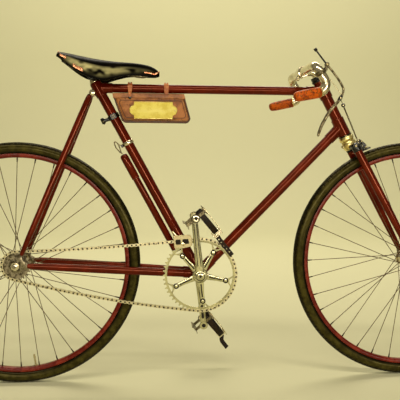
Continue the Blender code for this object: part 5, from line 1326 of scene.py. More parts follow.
# ---------------------------------------------------------------- front changer
def front_changer():
    """Two cage plates with windows over the chain, a roof between them, an arm and a bolted band."""
    outline = rounded(mm((-74, 80), (-77, 114), (-25, 117.5), (-22, 85), (-48, 79.5)),
        (0.004, 0.006, 0.008, 0.008, 0.006), 4)
    windows = mm(((-70, 90), (-71, 104), (-56, 105), (-55, 90)),
        ((-50, 90.5), (-51, 105.5), (-34, 106.5), (-31, 92.5)))
    pieces = []
    for low, high in ((CHAINLINE - 0.0079, CHAINLINE - 0.0064), (CHAINLINE + 0.0064, CHAINLINE + 0.0079)):
        plate = extruded(outline, low, high, CRANK_MIDDLE)
        plate = painted(softened(plate, 0.0004, 1), DULL_NICKEL)
        # The windows' walls are painted dark as shade.
        tools = [painted(extruded(rounded(window, 0.003, 3), low - 0.002, high + 0.002, CRANK_MIDDLE), SHADE_AND_GRIME)
            for window in windows]
        pieces.append(cut(plate, *tools))
    # A thin dark sheet inside the outer plate: painted shade seen through the windows.
    shade = mm((-72, 88.5), (-73, 106), (-32, 108.5), (-29, 90.5))
    pieces.append(painted(extruded(shade, CHAINLINE - 0.0065, CHAINLINE - 0.0061, CRANK_MIDDLE), SHADE_AND_GRIME))
    roof = mm((-76.2, 111.8), (-76.2, 113.3), (-26.2, 116.8), (-26.2, 115.3))
    pieces.append(extruded(roof, CHAINLINE - 0.007, CHAINLINE + 0.007, CRANK_MIDDLE))
    arm = by_seat_tube(0.1035)
    pivot = turned(mm((0, 15.8), (6.2, 15.8), (6.2, 18), (4.8, 19), (4.8, 37), (6.6, 38), (6.6, 39.4),
            (0, 39.4)), arm, -ACROSS, 28)
    screw = turned(mm((0, 53.6), (4, 53.6), (5.2, 55.2), (4.8, 56.6), (2, 57), (1.8, 56), (0, 56)), arm,
        -ACROSS, 24)
    link = bar((arm - ACROSS * 0.019, by_seat_tube(0.128, 0.006, 0.02), by_seat_tube(0.146, 0.01, 0.0185)),
        mm((2.8, 1.2), (2.4, 1.2), (3.4, 1.2)), sides=12, square=3)
    pin = rod(by_seat_tube(0.146, 0.01, 0.0165), by_seat_tube(0.146, 0.01, 0.0225), 0.0022, sides=12)
    pieces += [pivot, screw, link, pin]
    done(pieces, "front_changer_cage", "frame", DULL_NICKEL, ("front_changer",), sharp=30)
    band(0.1035, 0.012, "changer_band", DULL_NICKEL)


def band(up, length, name, coat, behind=False):
    """A rolled clamp band round the seat tube, with its ears and bolt on the left or behind."""
    wall = 0.0022
    inner = SEAT_RADIUS + 0.0003
    profile = ((inner, 0), (inner + wall * 0.8, 0), (inner + wall, wall * 0.3),
        (inner + wall, length - wall * 0.3), (inner + wall * 0.8, length), (inner, length))
    ring = turned(profile, by_seat_tube(up - length / 2), SEAT_UP, 56)
    pieces = []
    middle = by_seat_tube(up)
    out, across = (SEAT_BEHIND, ACROSS) if behind else (ACROSS, SEAT_BEHIND)
    for apart in (-0.0026, 0.0026):
        pieces.append(bar((middle + out * (inner + 0.0005) + across * apart,
                    middle + out * (inner + 0.008) + across * apart), (length * 0.42, 0.0012), across=across,
                sides=16, square=5))
    bolt = middle + out * (inner + 0.0046)
    pieces.append(rod(bolt - across * 0.0072, bolt + across * 0.0072, 0.0017, sides=14))
    for way in (-1, 1):
        pieces.append(turned(mm((0, 0), (3, 0), (3.4, 0.8), (3, 2.4), (0, 2.8)), bolt + across * way * 0.0036,
                across * way, 18))
    lugs = painted(joined(pieces), JAPAN)
    done([painted(ring, coat), lugs], name, "frame", coat, sharp=35)


for name, side in SIDES:
    pedal(name, side)
front_changer()


# ---------------------------------------------------------------- saddle
SADDLE = (
    # ahead of the seat tube's top crossing, top above it, half width, drop of the side
    (-0.11, 0.0905, 0.057, 0.01), (-0.103, 0.0975, 0.07, 0.021), (-0.081, 0.0955, 0.0765, 0.036),
    (-0.049, 0.0895, 0.073, 0.052), (-0.016, 0.0835, 0.062, 0.059), (0.017, 0.0785, 0.0495, 0.061),
    (0.049, 0.075, 0.0375, 0.05), (0.081, 0.073, 0.0285, 0.041), (0.113, 0.0705, 0.0225, 0.037),
    (0.145, 0.0645, 0.019, 0.033), (0.166, 0.055, 0.015, 0.024), (0.177, 0.044, 0.0088, 0.01),
)
SADDLE_RUN = smooth_path([Vector(station) for station in SADDLE], 6)


def on_saddle(ahead, share, rise=0.0):
    """A point of the leather's outer face, lifted by rise; share runs across from -1 to 1."""
    for here, following in zip(SADDLE_RUN, SADDLE_RUN[1:]):
        if ahead <= following[0]:
            break
    station = here.lerp(following, (ahead - here[0]) / (following[0] - here[0]))
    angle = share * pi / 2
    fall = 1 - max(cos(angle), 0.0) ** 0.55
    out = Vector((0, sin(angle), cos(angle) * 0.6)).normalized() * rise
    return SEAT_CROSSING + Vector((ahead, station[2] * sin(angle), station[1] - station[3] * fall)) + out


def saddle():
    shares = [-1 + i / 24 for i in range(49)]
    shares = [share * (1.35 - 0.35 * abs(share)) for share in shares]
    rows = [[on_saddle(station[0], share) for share in shares] for station in SADDLE_RUN]
    leather = sheet(rows)
    leather = thickened(leather, 0.0046, -1, len(leather.data.polygons) // 2, UP)
    leather = softened(leather, 0.0014, 3, 50)
    done(leather, "saddle_leather", "frame", SADDLE_HIDE, ("saddle_top",), sharp=60)

    for label, side in SIDES:
        for i, (start, end, low, high) in enumerate(((-0.099, -0.08, 0.8, 0.91),
                    (-0.063, -0.035, 0.93, 0.985))):
            rows = [[on_saddle(start + (end - start) * a / 10, side * (low + (high - low) * b / 6), 0.0004)
                    for b in range(7)] for a in range(11)]
            patch = thickened(sheet(rows), 0.0016, 0.6, 0, ACROSS * side)
            done(softened(patch, 0.0006, 2, 50), f"saddle_rivet_plate_{label}_{i + 1}", "frame", COPPER,
                sharp=50)
    studs = []
    for ahead, share in ((-0.096, 0.855), (-0.083, 0.855), (-0.0595, 0.96), (-0.0385, 0.96), (-0.1055, 0.38),
            (-0.1065, 0.12)):
        for side in (-1, 1):
            base = on_saddle(ahead, side * share, 0.0002)
            out = (on_saddle(ahead, side * share, 0.01) - on_saddle(ahead, side * share)).normalized()
            studs.append(turned(mm((0, 2.2), (1.6, 2), (2.8, 1.2), (3.3, 0), (3.3, -1.5), (0, -1.5)), base,
                    out, 20))
    done(studs, "saddle_rivets", "frame", COPPER, sharp=60)
    edge = [on_saddle(ahead, 0.93, 0.0012) for ahead in (0.134, 0.144, 0.154, 0.164)]
    edge += [on_saddle(0.1715, 0.74, 0.0014), on_saddle(0.1754, 0.35, 0.0016), on_saddle(0.1764, 0, 0.002)]
    edge += [Vector((point.x, -point.y, point.z)) for point in reversed(edge[:-1])]
    trim = bar(smooth_path(edge, 5), mm(1.1, 2.2), across=Vector((0, 0.35, 1)), sides=14, square=4)
    done(trim, "saddle_nose_trim", "frame", COPPER, sharp=60)


def saddle_support():
    """Sprung rails, the clamp that grips them, and the post."""
    up = 0.648
    clamp = by_seat_tube(up)
    rail_out, rail_rise = 0.022, 0.0128
    above = clamp.z + rail_rise
    rear = on_saddle(SADDLE[2][0], 0.42) - Vector((0, 0, 0.009))
    nose = on_saddle(SADDLE[-2][0], 0) - Vector((0.01, 0, 0.0135))
    half = ((rear.x, rear.y, rear.z), (rear.x + 0.018, 0.034, (rear.z + above) / 2),
        (clamp.x - 0.026, rail_out, above), (clamp.x, rail_out, above), (clamp.x + 0.026, rail_out, above),
        (clamp.x + 0.084, 0.015, above - 0.002), (nose.x - 0.03, 0.0105, nose.z - 0.009),
        (nose.x - 0.008, 0.006, nose.z - 0.001), tuple(nose))
    route = [*half, *((x, -y, z) for x, y, z in reversed(half[:-1]))]
    rails = bar(smooth_path(route, 8), mm(3.5, 3.5), across=UP, sides=20)
    done(rails, "saddle_rails_drawn", "frame", STEEL, ("saddle_rails",))
    for name, side in SIDES:
        loop = [rear + Vector((x, 0, z))
            for x, z in ((0.004, 0.002), (-0.01, -0.003), (-0.006, -0.016), (0.006, -0.021), (0.018, -0.014))]
        loop = [Vector((p.x, (abs(p.y) + 0.016) * side, p.z)) for p in loop]
        done(bar(smooth_path(loop, 6), mm(1.6, 1.6), sides=12), "saddle_bag_loop_" + name, "frame", STEEL)

    end = mm((0, 33.5), (5.2, 33.5), (5.8, 32.5), (5.8, 29), (9.8, 29), (11.2, 28), (11.8, 26.8), (11.8, 18),
        (11.2, 16.8))
    barrel = turned(end + mm((8.8, 16), (8.6, -16)) + [(radius, -out) for radius, out in reversed(end)],
        clamp, ACROSS, 40)
    pieces = [barrel]
    for side in (-1, 1):
        for over in (-1, 1):
            jaw = clamp + Vector((0, side * rail_out, rail_rise + over * 0.003))
            pieces.append(bar((jaw - AHEAD * 0.013, jaw + AHEAD * 0.013), mm(2.8, 4.6), sides=20, square=4))
        nut = extruded(arc(0.0078, 0, 360, 60), side * 0.0285, side * 0.0325, clamp)
        pieces.append(softened(nut, 0.0006, 1, 30))
    done(pieces, "saddle_clamp_forged", "frame", JAPAN, ("saddle_clamp",), sharp=40)
    low = (SEAT_HIGH - BRACKET).dot(SEAT_UP) + 0.0003
    length = up - 0.0093 - low
    post = turned(mm((0, 0), (15, 0), (15.2, 1), (15, 2.2), (13, 3), (12.5, 4))
        + past(length, (12.5, -1), (11.8, 0), (0, 0)), by_seat_tube(low), SEAT_UP, 48)
    done(post, "seat_post_drawn", "frame", DULL_NICKEL, ("seat_post",))


# ---------------------------------------------------------------- tool bag
BAG_REAR = SEAT_CROSSING.x + 0.0415
BAG_LENGTH = 0.2055
BAG_DEEP = 0.081
BAG_HALF = 0.0215
BAG_TOP = -TOP_RADIUS - 0.0035


def by_bag(ahead, out, up):
    """A place measured along the top tube from the bag's rear, with up from the tube's centre line."""
    return Vector((BAG_REAR + ahead, out,
            SEAT_CROSSING.z + (BAG_REAR + ahead - SEAT_CROSSING.x) * TOP_RUN.z / TOP_RUN.x + up))


def bag_outline(inset):
    """The bag's side view, drawn in by inset, as places along and above."""
    low = BAG_TOP - BAG_DEEP + inset
    high = BAG_TOP - inset * 0.6
    lean_rear = 0.0285 / BAG_DEEP
    lean_front = 0.0205 / BAG_DEEP
    corner = max(0.012 - inset, 0.003)
    return rounded((((BAG_TOP - high) * lean_rear + inset, high),
            (BAG_LENGTH + (BAG_TOP - high) * lean_front - inset, high),
            (BAG_LENGTH + (BAG_TOP - low) * lean_front - inset, low),
            ((BAG_TOP - low) * lean_rear + inset, low)), (0.004, 0.004, corner, corner), 6)


def filled(piece, limit):
    """Swells a leather pouch with what is in it: a cloth simulation whose points move no more than limit."""
    start = np.zeros(len(piece.data.vertices) * 3)
    piece.data.vertices.foreach_get("co", start)
    cloth = piece.modifiers.new("cloth", "CLOTH")
    cloth.settings.use_pressure = True
    cloth.settings.uniform_pressure_force = 4
    cloth.settings.effector_weights.gravity = 0
    cloth.settings.tension_stiffness = 60
    cloth.settings.bending_stiffness = 4
    for step in range(1, 21):
        bpy.context.scene.frame_set(step)
    settled(piece)
    bpy.context.scene.frame_set(1)
    moved = np.zeros(len(start))
    piece.data.vertices.foreach_get("co", moved)
    travel = (moved - start).reshape(-1, 3)
    far = np.linalg.norm(travel, axis=1, keepdims=True)
    travel *= np.minimum(1.0, limit / np.maximum(far, 1e-9))
    piece.data.vertices.foreach_set("co", (start + travel.ravel()))
    piece.data.update()
    return piece


def tool_bag():
    layers = ((-1, 0.007), (-0.93, 0.0028), (-0.8, 0.001), (-0.4, 0), (0.4, 0), (0.8, 0.001), (0.93, 0.0028),
        (1, 0.007))
    rings = [[by_bag(ahead, BAG_HALF * share, up) for ahead, up in bag_outline(0.0015 + inset)]
        for share, inset in layers]
    pouch = cast([skin(rings)], 0.0042, 0)
    filled(pouch, 0.0022)
    worked(pouch, "SUBSURF", levels=1, render_levels=1)
    done(pouch, "tool_bag_pouch", "frame", BAG_HIDE, ("tool_bag",), sharp=70)

    half = ((BAG_HALF + 0.0014, -0.0125), (BAG_HALF + 0.0024, -0.009), (BAG_HALF + 0.002, -0.0035),
        (BAG_HALF - 0.001, -0.0002), (0.012, 0.0006))
    section = [(-out, up) for out, up in half] + [(0, 0.0004), *reversed(half)]
    section = smooth_path([(out, up, 0) for out, up in section], 4)
    rows = []
    for i in range(57):
        share = i / 56
        ahead = 0.0008 + (BAG_LENGTH - 0.0008) * share
        wave = 0.0005 * sin(share * 21) + 0.0004 * sin(share * 47 + 1)
        dip = 0.001 * (2 * share - 1) ** 8
        lean = 0.18 + 0.12 * share
        rows.append([by_bag(ahead + max(0.0, -up) * lean, out, BAG_TOP + up * (1 + wave * 90) - dip)
                for out, up, _ in section])
    lid = thickened(sheet(rows), 0.0022, 0.2, len(section) // 2, UP)
    lid = softened(lid, 0.0006, 2, 50)
    done(lid, "tool_bag_lid", "frame", LID_HIDE, sharp=60)

    bag_trim(pouch)


def stitching_tree():
    """Thread stitches laid end to end along a path, a gap between each."""
    tree, take = new_tree("saddle_stitch",
        (("Path", "Object", None), ("Pitch", "Float", 0.0044), ("Length", "Float", 0.0029),
            ("Thread", "Float", 0.0005)))
    path = add(tree, "ObjectInfo", Object=take["Path"], out="Geometry")
    even = add(tree, "CurveToPoints", add(tree, "MeshToCurve", path), Length=take["Pitch"], mode="LENGTH")
    half = add(tree, "Math", take["Length"], 0.5, operation="MULTIPLY")
    ball = add(tree, "MeshIcoSphere", Radius=take["Thread"], Subdivisions=1)
    parts = [add(tree, "MeshCylinder", Vertices=6, Radius=take["Thread"], Depth=take["Length"])]
    for way in (-1.0, 1.0):
        place = add(tree, "CombineXYZ", Z=add(tree, "Math", half, way, operation="MULTIPLY"))
        parts.append(add(tree, "Transform", ball, Translation=place))
    turn = add(tree, "AlignRotationToVector", Vector=even.node.outputs["Tangent"], axis="Z")
    laid = add(tree, "InstanceOnPoints", even, Instance=add(tree, "JoinGeometry", parts), Rotation=turn)
    return finish_tree(tree, (take["Finish"], laid))


STITCHING = stitching_tree()


def stitches(name, paths, slot, **sizes):
    """Runs of stitches along paths, as one piece."""
    runs = []
    for path in paths:
        bm = bmesh.new()
        points = [bm.verts.new(point) for point in path]
        for here, following in zip(points, points[1:]):
            bm.edges.new((here, following))
        guide = solid(bm, tidy=False)
        bpy.context.view_layer.update()
        runs.append(grown(STITCHING, THREAD, Path=guide, **sizes))
        bpy.data.objects.remove(guide, do_unlink=True)
    done(runs, name, "frame", THREAD, sharp=60)


def laid_on(piece, points, side, lift):
    """Points moved across until they lie on a piece's near or far face, lifted a little."""
    placed = []
    for point in points:
        hit, place, _, _ = piece.ray_cast(Vector((point.x, side * 0.06, point.z)), Vector((0, -side, 0)))
        placed.append(place + ACROSS * side * lift if hit else point)
    return placed


def bag_trim(pouch):
    """Welts, panel seams and the stitches beside them."""
    foot = BAG_TOP - BAG_DEEP
    panel = ((0.0165, BAG_TOP - 0.019), (BAG_LENGTH - 0.0075, BAG_TOP - 0.019),
        (BAG_LENGTH + 0.006, foot + 0.013), (0.0375, foot + 0.013))
    welts, seams, threads = [], [], []
    for side in (-1, 1):
        outline = bag_outline(0.0016)
        run = outline[13:28] + outline[:1]
        run = [(max(ahead, 0.0045) if i == len(run) - 1 else ahead, min(up, BAG_TOP - 0.008))
            for i, (ahead, up) in enumerate(run)]
        welts.append(bar([by_bag(ahead, side * (BAG_HALF - 0.001), up) for ahead, up in run], mm(2.2, 2),
                sides=14))
        inner = bag_outline(0.0062)
        inner = inner[13:28] + inner[:1]
        inner = [by_bag(ahead, 0, min(up, BAG_TOP - 0.0155)) for ahead, up in inner]
        dense = [a.lerp(b, i / 12) for a, b in zip(inner, inner[1:]) for i in range(12)] + [inner[-1]]
        threads.append(laid_on(pouch, dense, side, 0.0002))
        panel_line = [by_bag(ahead, 0, up) for ahead, up in rounded(panel, 0.007, 4)]
        panel_line.append(panel_line[0])
        dense = [a.lerp(b, i / 10) for a, b in zip(panel_line, panel_line[1:]) for i in range(10)]
        seams.append(bar(laid_on(pouch, dense, side, -0.0001), mm(1, 1.1), sides=8, closed=True))
        threads.append([by_bag(0.004 + (BAG_LENGTH - 0.006) * i / 60, side * (BAG_HALF + 0.0027),
                    BAG_TOP - 0.01) for i in range(61)])
    done(welts, "tool_bag_welts", "frame", BAG_EDGE, sharp=60)
    done(seams, "tool_bag_panel_seams", "frame", BAG_EDGE, sharp=60)
    stitches("tool_bag_stitches", threads, "tool_bag", Pitch=0.0046, Length=0.003, Thread=0.00055)


def bag_label():
    """A yellow enamelled plate with round ears, a raised border and two rivets, left blank."""
    centre = by_bag(0.117, 0, BAG_TOP - 0.047)
    slope = atan2(TOP_RUN.z, TOP_RUN.x)

    def outline(inset):
        points = []
        for side in (1, -1):
            points.append((side * (0.0545 - inset), -side * (0.0245 - inset)))
            points += [(side * (0.0535 + x), side * z) for x, z in arc(0.015 - inset, -80, 81, 16)]
            points.append((side * (0.0545 - inset), side * (0.0245 - inset)))
        return points

    near = -0.0242
    plate = extruded(outline(0), near - 0.0012, near, centre, slope)
    done(softened(plate, 0.0004, 2, 30), "bag_label_plate", "frame", LABEL, ("bag_plate",), sharp=40)
    rim = [centre + Vector((x * cos(slope) - z * sin(slope), near - 0.0012, x * sin(slope) + z * cos(slope)))
        for x, z in outline(0.0011)]
    pieces = [bar(rim, mm(0.6, 0.9), sides=10, closed=True)]
    for side in (-1, 1):
        base = centre + TOP_RUN * side * 0.062 + ACROSS * (near - 0.001)
        pieces.append(turned(mm((0, 1.3), (1.4, 1.1), (2.2, 0.4), (2.4, -0.4), (0, -0.4)), base, -ACROSS, 20))
    done(pieces, "bag_label_rim", "frame", BRASS, sharp=50)


def bag_straps():
    """Leather loops over the top tube, each under two keepers; the rear one ends in a tapered tongue."""
    for name, ahead, low in (("rear", 0.0505, 0.03), ("front", 0.1545, 0.0178)):
        over = TOP_RADIUS + 0.0016
        half = arc(over, 75, -1, -15)
        half += [(over + 0.0002, -0.006), (0.0185, -0.0115), (0.0245, -0.015), (0.0257, -low + 0.008),
            (0.0258, -low)]
        line = [(-out, up) for out, up in reversed(half)] + [(0, over)] + half
        path = smooth_path([by_bag(ahead, out, up) for out, up in line], 4)
        sizes = []
        for point in path:
            fall = SEAT_CROSSING.z - point.z
            width = 0.0068 if fall < -0.004 else 0.0068 - (fall + 0.004) * (0.115 if name == "rear" else 0.05)
            sizes.append((0.0011, max(width, 0.0026)))
        sizes[0] = sizes[-1] = (0.0008, sizes[0][1] * 0.55)
        band_piece = bar(path, sizes, across=AHEAD, sides=18, square=5)
        done(band_piece, "bag_strap_leather_" + name, "frame", STRAP_HIDE, ("bag_strap_" + name,), sharp=60)
        keepers = []
        for apart in (-0.0034, 0.0034):
            route = [by_bag(ahead + apart, out, up)
                for out, up in ((-0.0088, over * 0.62 + 0.0016), (-0.007, over + 0.0022),
                    (0.007, over + 0.0022), (0.0088, over * 0.62 + 0.0016))]
            keepers.append(bar(smooth_path(route, 5), mm(1, 2.1), across=AHEAD, sides=12, square=4))
        done(keepers, "bag_strap_keepers_" + name, "frame", STRAP_HIDE, sharp=50)
        if name == "rear":
            tips = [bar((by_bag(ahead, side * 0.0259, -low + 0.0045), by_bag(ahead, side * 0.0259, -low),
                        by_bag(ahead, side * 0.0258, -low - 0.0018)), mm((1.7, 4.6), (1.8, 4.2), (1, 2.2)),
                    across=AHEAD, sides=16, square=4) for side in (-1, 1)]
            done(tips, "bag_strap_tips", "frame", JAPAN, sharp=50)


# ---------------------------------------------------------------- pump and clip
PUMP_BEHIND = 0.0293


def pump():
    foot, handle, top = 0.094, 0.332, 0.411
    barrel = turned(((0, 0), (0.0086, 0), (0.01, 0.0012), (0.01, 0.01), (0.0096, 0.0106), (0.0096, 0.013),
            (0.01, 0.0136), (0.01, handle - foot - 0.0003), (0, handle - foot - 0.0003)),
        by_seat_tube(foot, PUMP_BEHIND), SEAT_UP, 48)
    done(barrel, "pump_tube", "frame", ENAMEL, ("pump_barrel",), sharp=40)
    length = top - handle
    grip = turned(mm((0, 0), (10.8, 0), (11.7, 0.8), (11.8, 2), (11.8, 5), (11.2, 5.8), (11.2, 7.8),
            (11.8, 8.6)) + past(length, (11.8, -12), (11.2, -6), (9.4, -2.2), (6.2, -0.4), (0, 0)),
        by_seat_tube(handle, PUMP_BEHIND), SEAT_UP, 48)
    done(grip, "pump_grip", "frame", ENAMEL, ("pump_handle",), sharp=40)

    band(0.4335, 0.0105, "pump_hook_band", NICKEL, behind=True)
    loop = mm((413, 29), (418.5, 31.2), (427, 29), (444, 27.2), (452, 29.5), (454, 32.5), (450, 35.5),
        (438, 37.2), (425, 34.5), (418, 32.5))
    wire = smooth_path([by_seat_tube(up, behind, 0.0006 * i - 0.002) for i, (up, behind) in enumerate(loop)],
        5)
    tongue = smooth_path([by_seat_tube(0.438, 0.0235), by_seat_tube(0.444, 0.0262),
            by_seat_tube(0.452, 0.029)], 4)
    pieces = [bar(wire, mm(1.7, 1.7), sides=12), bar(tongue, mm(1.3, 1.3), sides=12)]
    done(pieces, "pump_hook_wire", "frame", CAGE_STEEL, ("pump_hook",), sharp=50)

    low = foot - 0.0053
    peg = bar([by_seat_tube(low, behind) for behind in (0.0146, 0.017, 0.029, 0.033)],
        mm((5, 7.2), (3.8, 4.8), (3.8, 4.8), (3, 3.6)), sides=28)
    done(peg, "pump_peg_turned", "frame", STEEL, ("pump_peg",), sharp=40)


def seat_tube_clip():
    """A japanned band with a ringed boss on the right, an arm and a ribbed knob behind."""
    up = 0.519
    inner = SEAT_RADIUS + 0.0003
    ring = turned(((inner, 0), (inner + 0.0018, 0), (inner + 0.0022, 0.0008), (inner + 0.0022, 0.0122),
            (inner + 0.0018, 0.013), (inner, 0.013)), by_seat_tube(up - 0.0065), SEAT_UP, 56)
    boss = bar([by_seat_tube(up, 0, right) for right in (0.015, 0.021, 0.0222)],
        mm((8.2, 8.2), (8.2, 8.2), (7.4, 7.4)), across=SEAT_UP, sides=32, square=6)
    arm = bar((by_seat_tube(up, 0.015), by_seat_tube(up + 0.001, 0.022), by_seat_tube(up + 0.003, 0.03)),
        mm((5.4, 6.2), (5, 5.4), (5.2, 5.4)), sides=24, square=4)
    ribs = [(0.006 if i % 2 else 0.005, 0.0015 * i) for i in range(11)]
    profile = mm((0, -1.2), (4, -1.2), (5.6, -0.4)) + ribs + mm((4.2, 16.2), (0, 16.2))
    knob = turned(profile, by_seat_tube(up - 0.0045, 0.033), SEAT_UP, 28)
    done([ring, boss, arm, knob], "seat_tube_clip_band", "frame", JAPAN, ("seat_tube_clip",), sharp=40)
    pale = [turned(mm((3, 22.2), (5.6, 22.2), (5.6, 23.2), (4.8, 24), (3.6, 24), (3, 23.2)), by_seat_tube(up),
            -ACROSS, 32)]
    for place in (by_seat_tube(up + 0.001, 0.033, 0.0058), by_seat_tube(up - 0.006, 0.033, 0.0)):
        run = -ACROSS if place.y < -0.001 else -SEAT_UP
        pale.append(turned(mm((0, 1.6), (1.6, 1.4), (2.6, 0.6), (2.6, -1), (0, -1)), place, run, 18))
    done(pale, "seat_tube_clip_bolts", "frame", CAGE_STEEL, sharp=40)


saddle()
saddle_support()
tool_bag()
bag_label()
bag_straps()
pump()
seat_tube_clip()


# ---------------------------------------------------------------- fork and headset
LOCKNUT_TOP = HEAD_TOP + 0.017
STEER_SLOPE = atan2(STEER_AHEAD.z, STEER_AHEAD.x)
FORK_END_INNER = 0.05
FORK_END_OUTER = 0.0545


def fork_crown():
    """Brass crown with its steerer, and japanned shoulders that hold the blades."""
    crown = turned(mm((0, -22.8), (14, -22.8), (17.2, -21.4), (19.8, -18), (21.2, -13), (21.6, -8.5),
            (21.1, -3.5), (19.7, 0.8), (18.4, 2.4), (18.8, 3.4), (18.4, 4.4), (12.5, 4.5))
        + past(LOCKNUT_TOP, (12.5, -0.2), (0, -0.2)), CROWN, STEER_UP, 72)
    done(crown, "crown_casting", "fork", BRASS, ("fork_crown",), sharp=50)
    route = mm((4, -49, -15), (4, -40, -14), (0, 0, -14.5), (4, 40, -14), (4, 49, -15))
    sizes = mm((6.5, 10.5), (8.5, 12.5), (8, 12), (8.5, 12.5), (6.5, 10.5))
    pieces = [bar([in_steering(*place) for place in route], sizes, across=STEER_AHEAD, sides=24)]
    for side in (-1, 1):
        route = mm((5, side * 39.5, -10), (5, side * 39.7, -22.5), (5.2, side * 40, -33))
        pieces.append(bar([in_steering(*place) for place in route],
                mm((12.2, 9.5), (13.6, 10.6), (12.8, 9.8))))
    done(cast(pieces), "crown_shoulders", "fork", JAPAN, sharp=60)
    bolts = []
    for side in (-1, 1):
        for ahead, up in ((0.004, -0.015), (-0.0205, -0.006)):
            base = in_steering(ahead, side * (0.049 if ahead > 0 else 0.006), up)
            bolts.append(turned(mm((0, 3.6), (2.4, 3.4), (3.6, 2.4), (4.2, 0.8), (4.2, -3), (0, -3)), base,
                    ACROSS * side if ahead > 0 else -STEER_AHEAD, 24))
    done(bolts, "crown_bolts", "fork", DULL_NICKEL, sharp=40)

    cup = turned(mm((13.1, 5.2), (18.4, 5.2), (19.8, 6), (21.3, 8.4), (21.9, 11.8), (21.5, 15.2), (20.2, 18),
            (18.7, 19.2), (18.7, 23.1), (13.1, 23.1)), CROWN, STEER_UP, 72)
    done(cup, "lower_cup", "frame", BRASS, ("lower_headset",), sharp=50)
    collar = turned(mm((18.6, 19.6), (20, 20), (20.4, 21.2), (20, 22.6), (18.6, 23.1)), CROWN, STEER_UP, 72)
    done(collar, "lower_cup_collar", "frame", JAPAN, sharp=50)

    nut = turned(mm((12.8, 0.3), (18.8, 0.3), (19.6, 1.2), (19.6, 4.8), (18.8, 6), (17.2, 6.6), (12.8, 6.6)),
        in_steering(0, 0, HEAD_TOP), STEER_UP, 72)
    flats = turned(mm((12.8, 6.6), (17.6, 6.6), (18.4, 7.4), (18.4, 14.8), (17.2, 16.6), (12.8, 16.8)),
        in_steering(0, 0, HEAD_TOP), STEER_UP, 8)
    done([nut, softened(flats, 0.0006, 2, 30)], "locknut_turned", "fork", JAPAN, ("headset_locknut",),
        sharp=40)


def fork_blades():
    for name, side in SIDES:
        top = in_steering(0.005, side * 0.04, -0.0231)
        foot = in_steering(0.0097, side * 0.05225, -0.376)
        path = [top.lerp(foot, share) for share in (0, 0.2, 0.4, 0.55, 0.7, 0.82, 0.92, 0.98, 1)]
        sizes = mm((12, 9), (12, 8.9), (11.9, 8.7), (11.6, 8.4), (10.7, 7.9), (9.6, 7.4), (8.4, 6.9),
            (7.5, 6.4), (5, 4.5))
        done(bar(path, sizes, sides=56), "fork_blade_drawn_" + name, "fork", ENAMEL, ("fork_blade_" + name,),
            sharp=50)
        low, high = sorted((side * FORK_END_INNER, side * FORK_END_OUTER))
        outline = arc(0.0135, 145, 396, 12)
        outline += mm((11.2, 18), (10.8, 29), (8, 34), (2, 34), (-3, 29), (-7, 18))
        end = extruded(outline, low, high, FRONT, STEER_SLOPE)
        hole = rod(FRONT + ACROSS * (low - 0.001), FRONT + ACROSS * (high + 0.001), 0.0053, sides=40)
        done(softened(cut(end, hole), 0.0007), "fork_end_" + name, "fork", STEEL)


# ---------------------------------------------------------------- handlebar and stem
BAR_MIDDLE = (-0.032, HEAD_TOP + 0.046)


def by_bar(ahead, out, up):
    """A place measured from the handlebar's middle, in the steering's frame."""
    return in_steering(BAR_MIDDLE[0] + ahead, out, BAR_MIDDLE[1] + up)


def handlebar():
    drop = mm((0, 90, 0), (0, 148, 0), (0, 174, -3.5), (1, 187, -16), (3, 190, -36), (3, 190, -50),
        (-1, 190, -61), (-11, 190, -68.8))
    front = Vector((-0.025, 0.1915, -0.0697))
    rear = Vector((-0.0965, 0.218, -0.05))
    run = (rear - front).normalized()
    half = drop + [tuple(front - run * 0.006), tuple(front + run * 0.004)]
    route = [(x, -y, z) for x, y, z in reversed(half)] + [(0, 0, 0)] + half
    path = smooth_path([by_bar(*place) for place in route], 8)
    tube = bar(path, mm(12.5, 12.5), across=STEER_AHEAD - STEER_UP * 0.5, sides=48)
    done(tube, "handlebar_tube", "fork", NICKEL, ("handlebar",), sharp=60)
    length = (rear - front).length
    profile = ((0, 0), (0.0126, 0), (0.014, 0.0012), (0.0146, 0.0036), (0.0147, length * 0.2),
        (0.0145, length * 0.5), (0.014, length * 0.78), (0.013, length * 0.89), (0.011, length * 0.955),
        (0.0075, length * 0.99), (0, length))
    for name, side in SIDES:
        start = by_bar(front.x, side * front.y, front.z)
        end = by_bar(rear.x, side * rear.y, rear.z)
        done(turned(profile, start, (end - start).normalized(), 56), "grip_cork_" + name, "fork", CORK,
            ("grip_" + name,), sharp=60)
        ring = turned(mm((12.6, -3), (13.6, -2.8), (14.2, -1.4), (14, -0.2), (12.6, -0.2)), start,
            (end - start).normalized(), 56)
        done(ring, "grip_ferrule_" + name, "fork", BRASS, sharp=50)


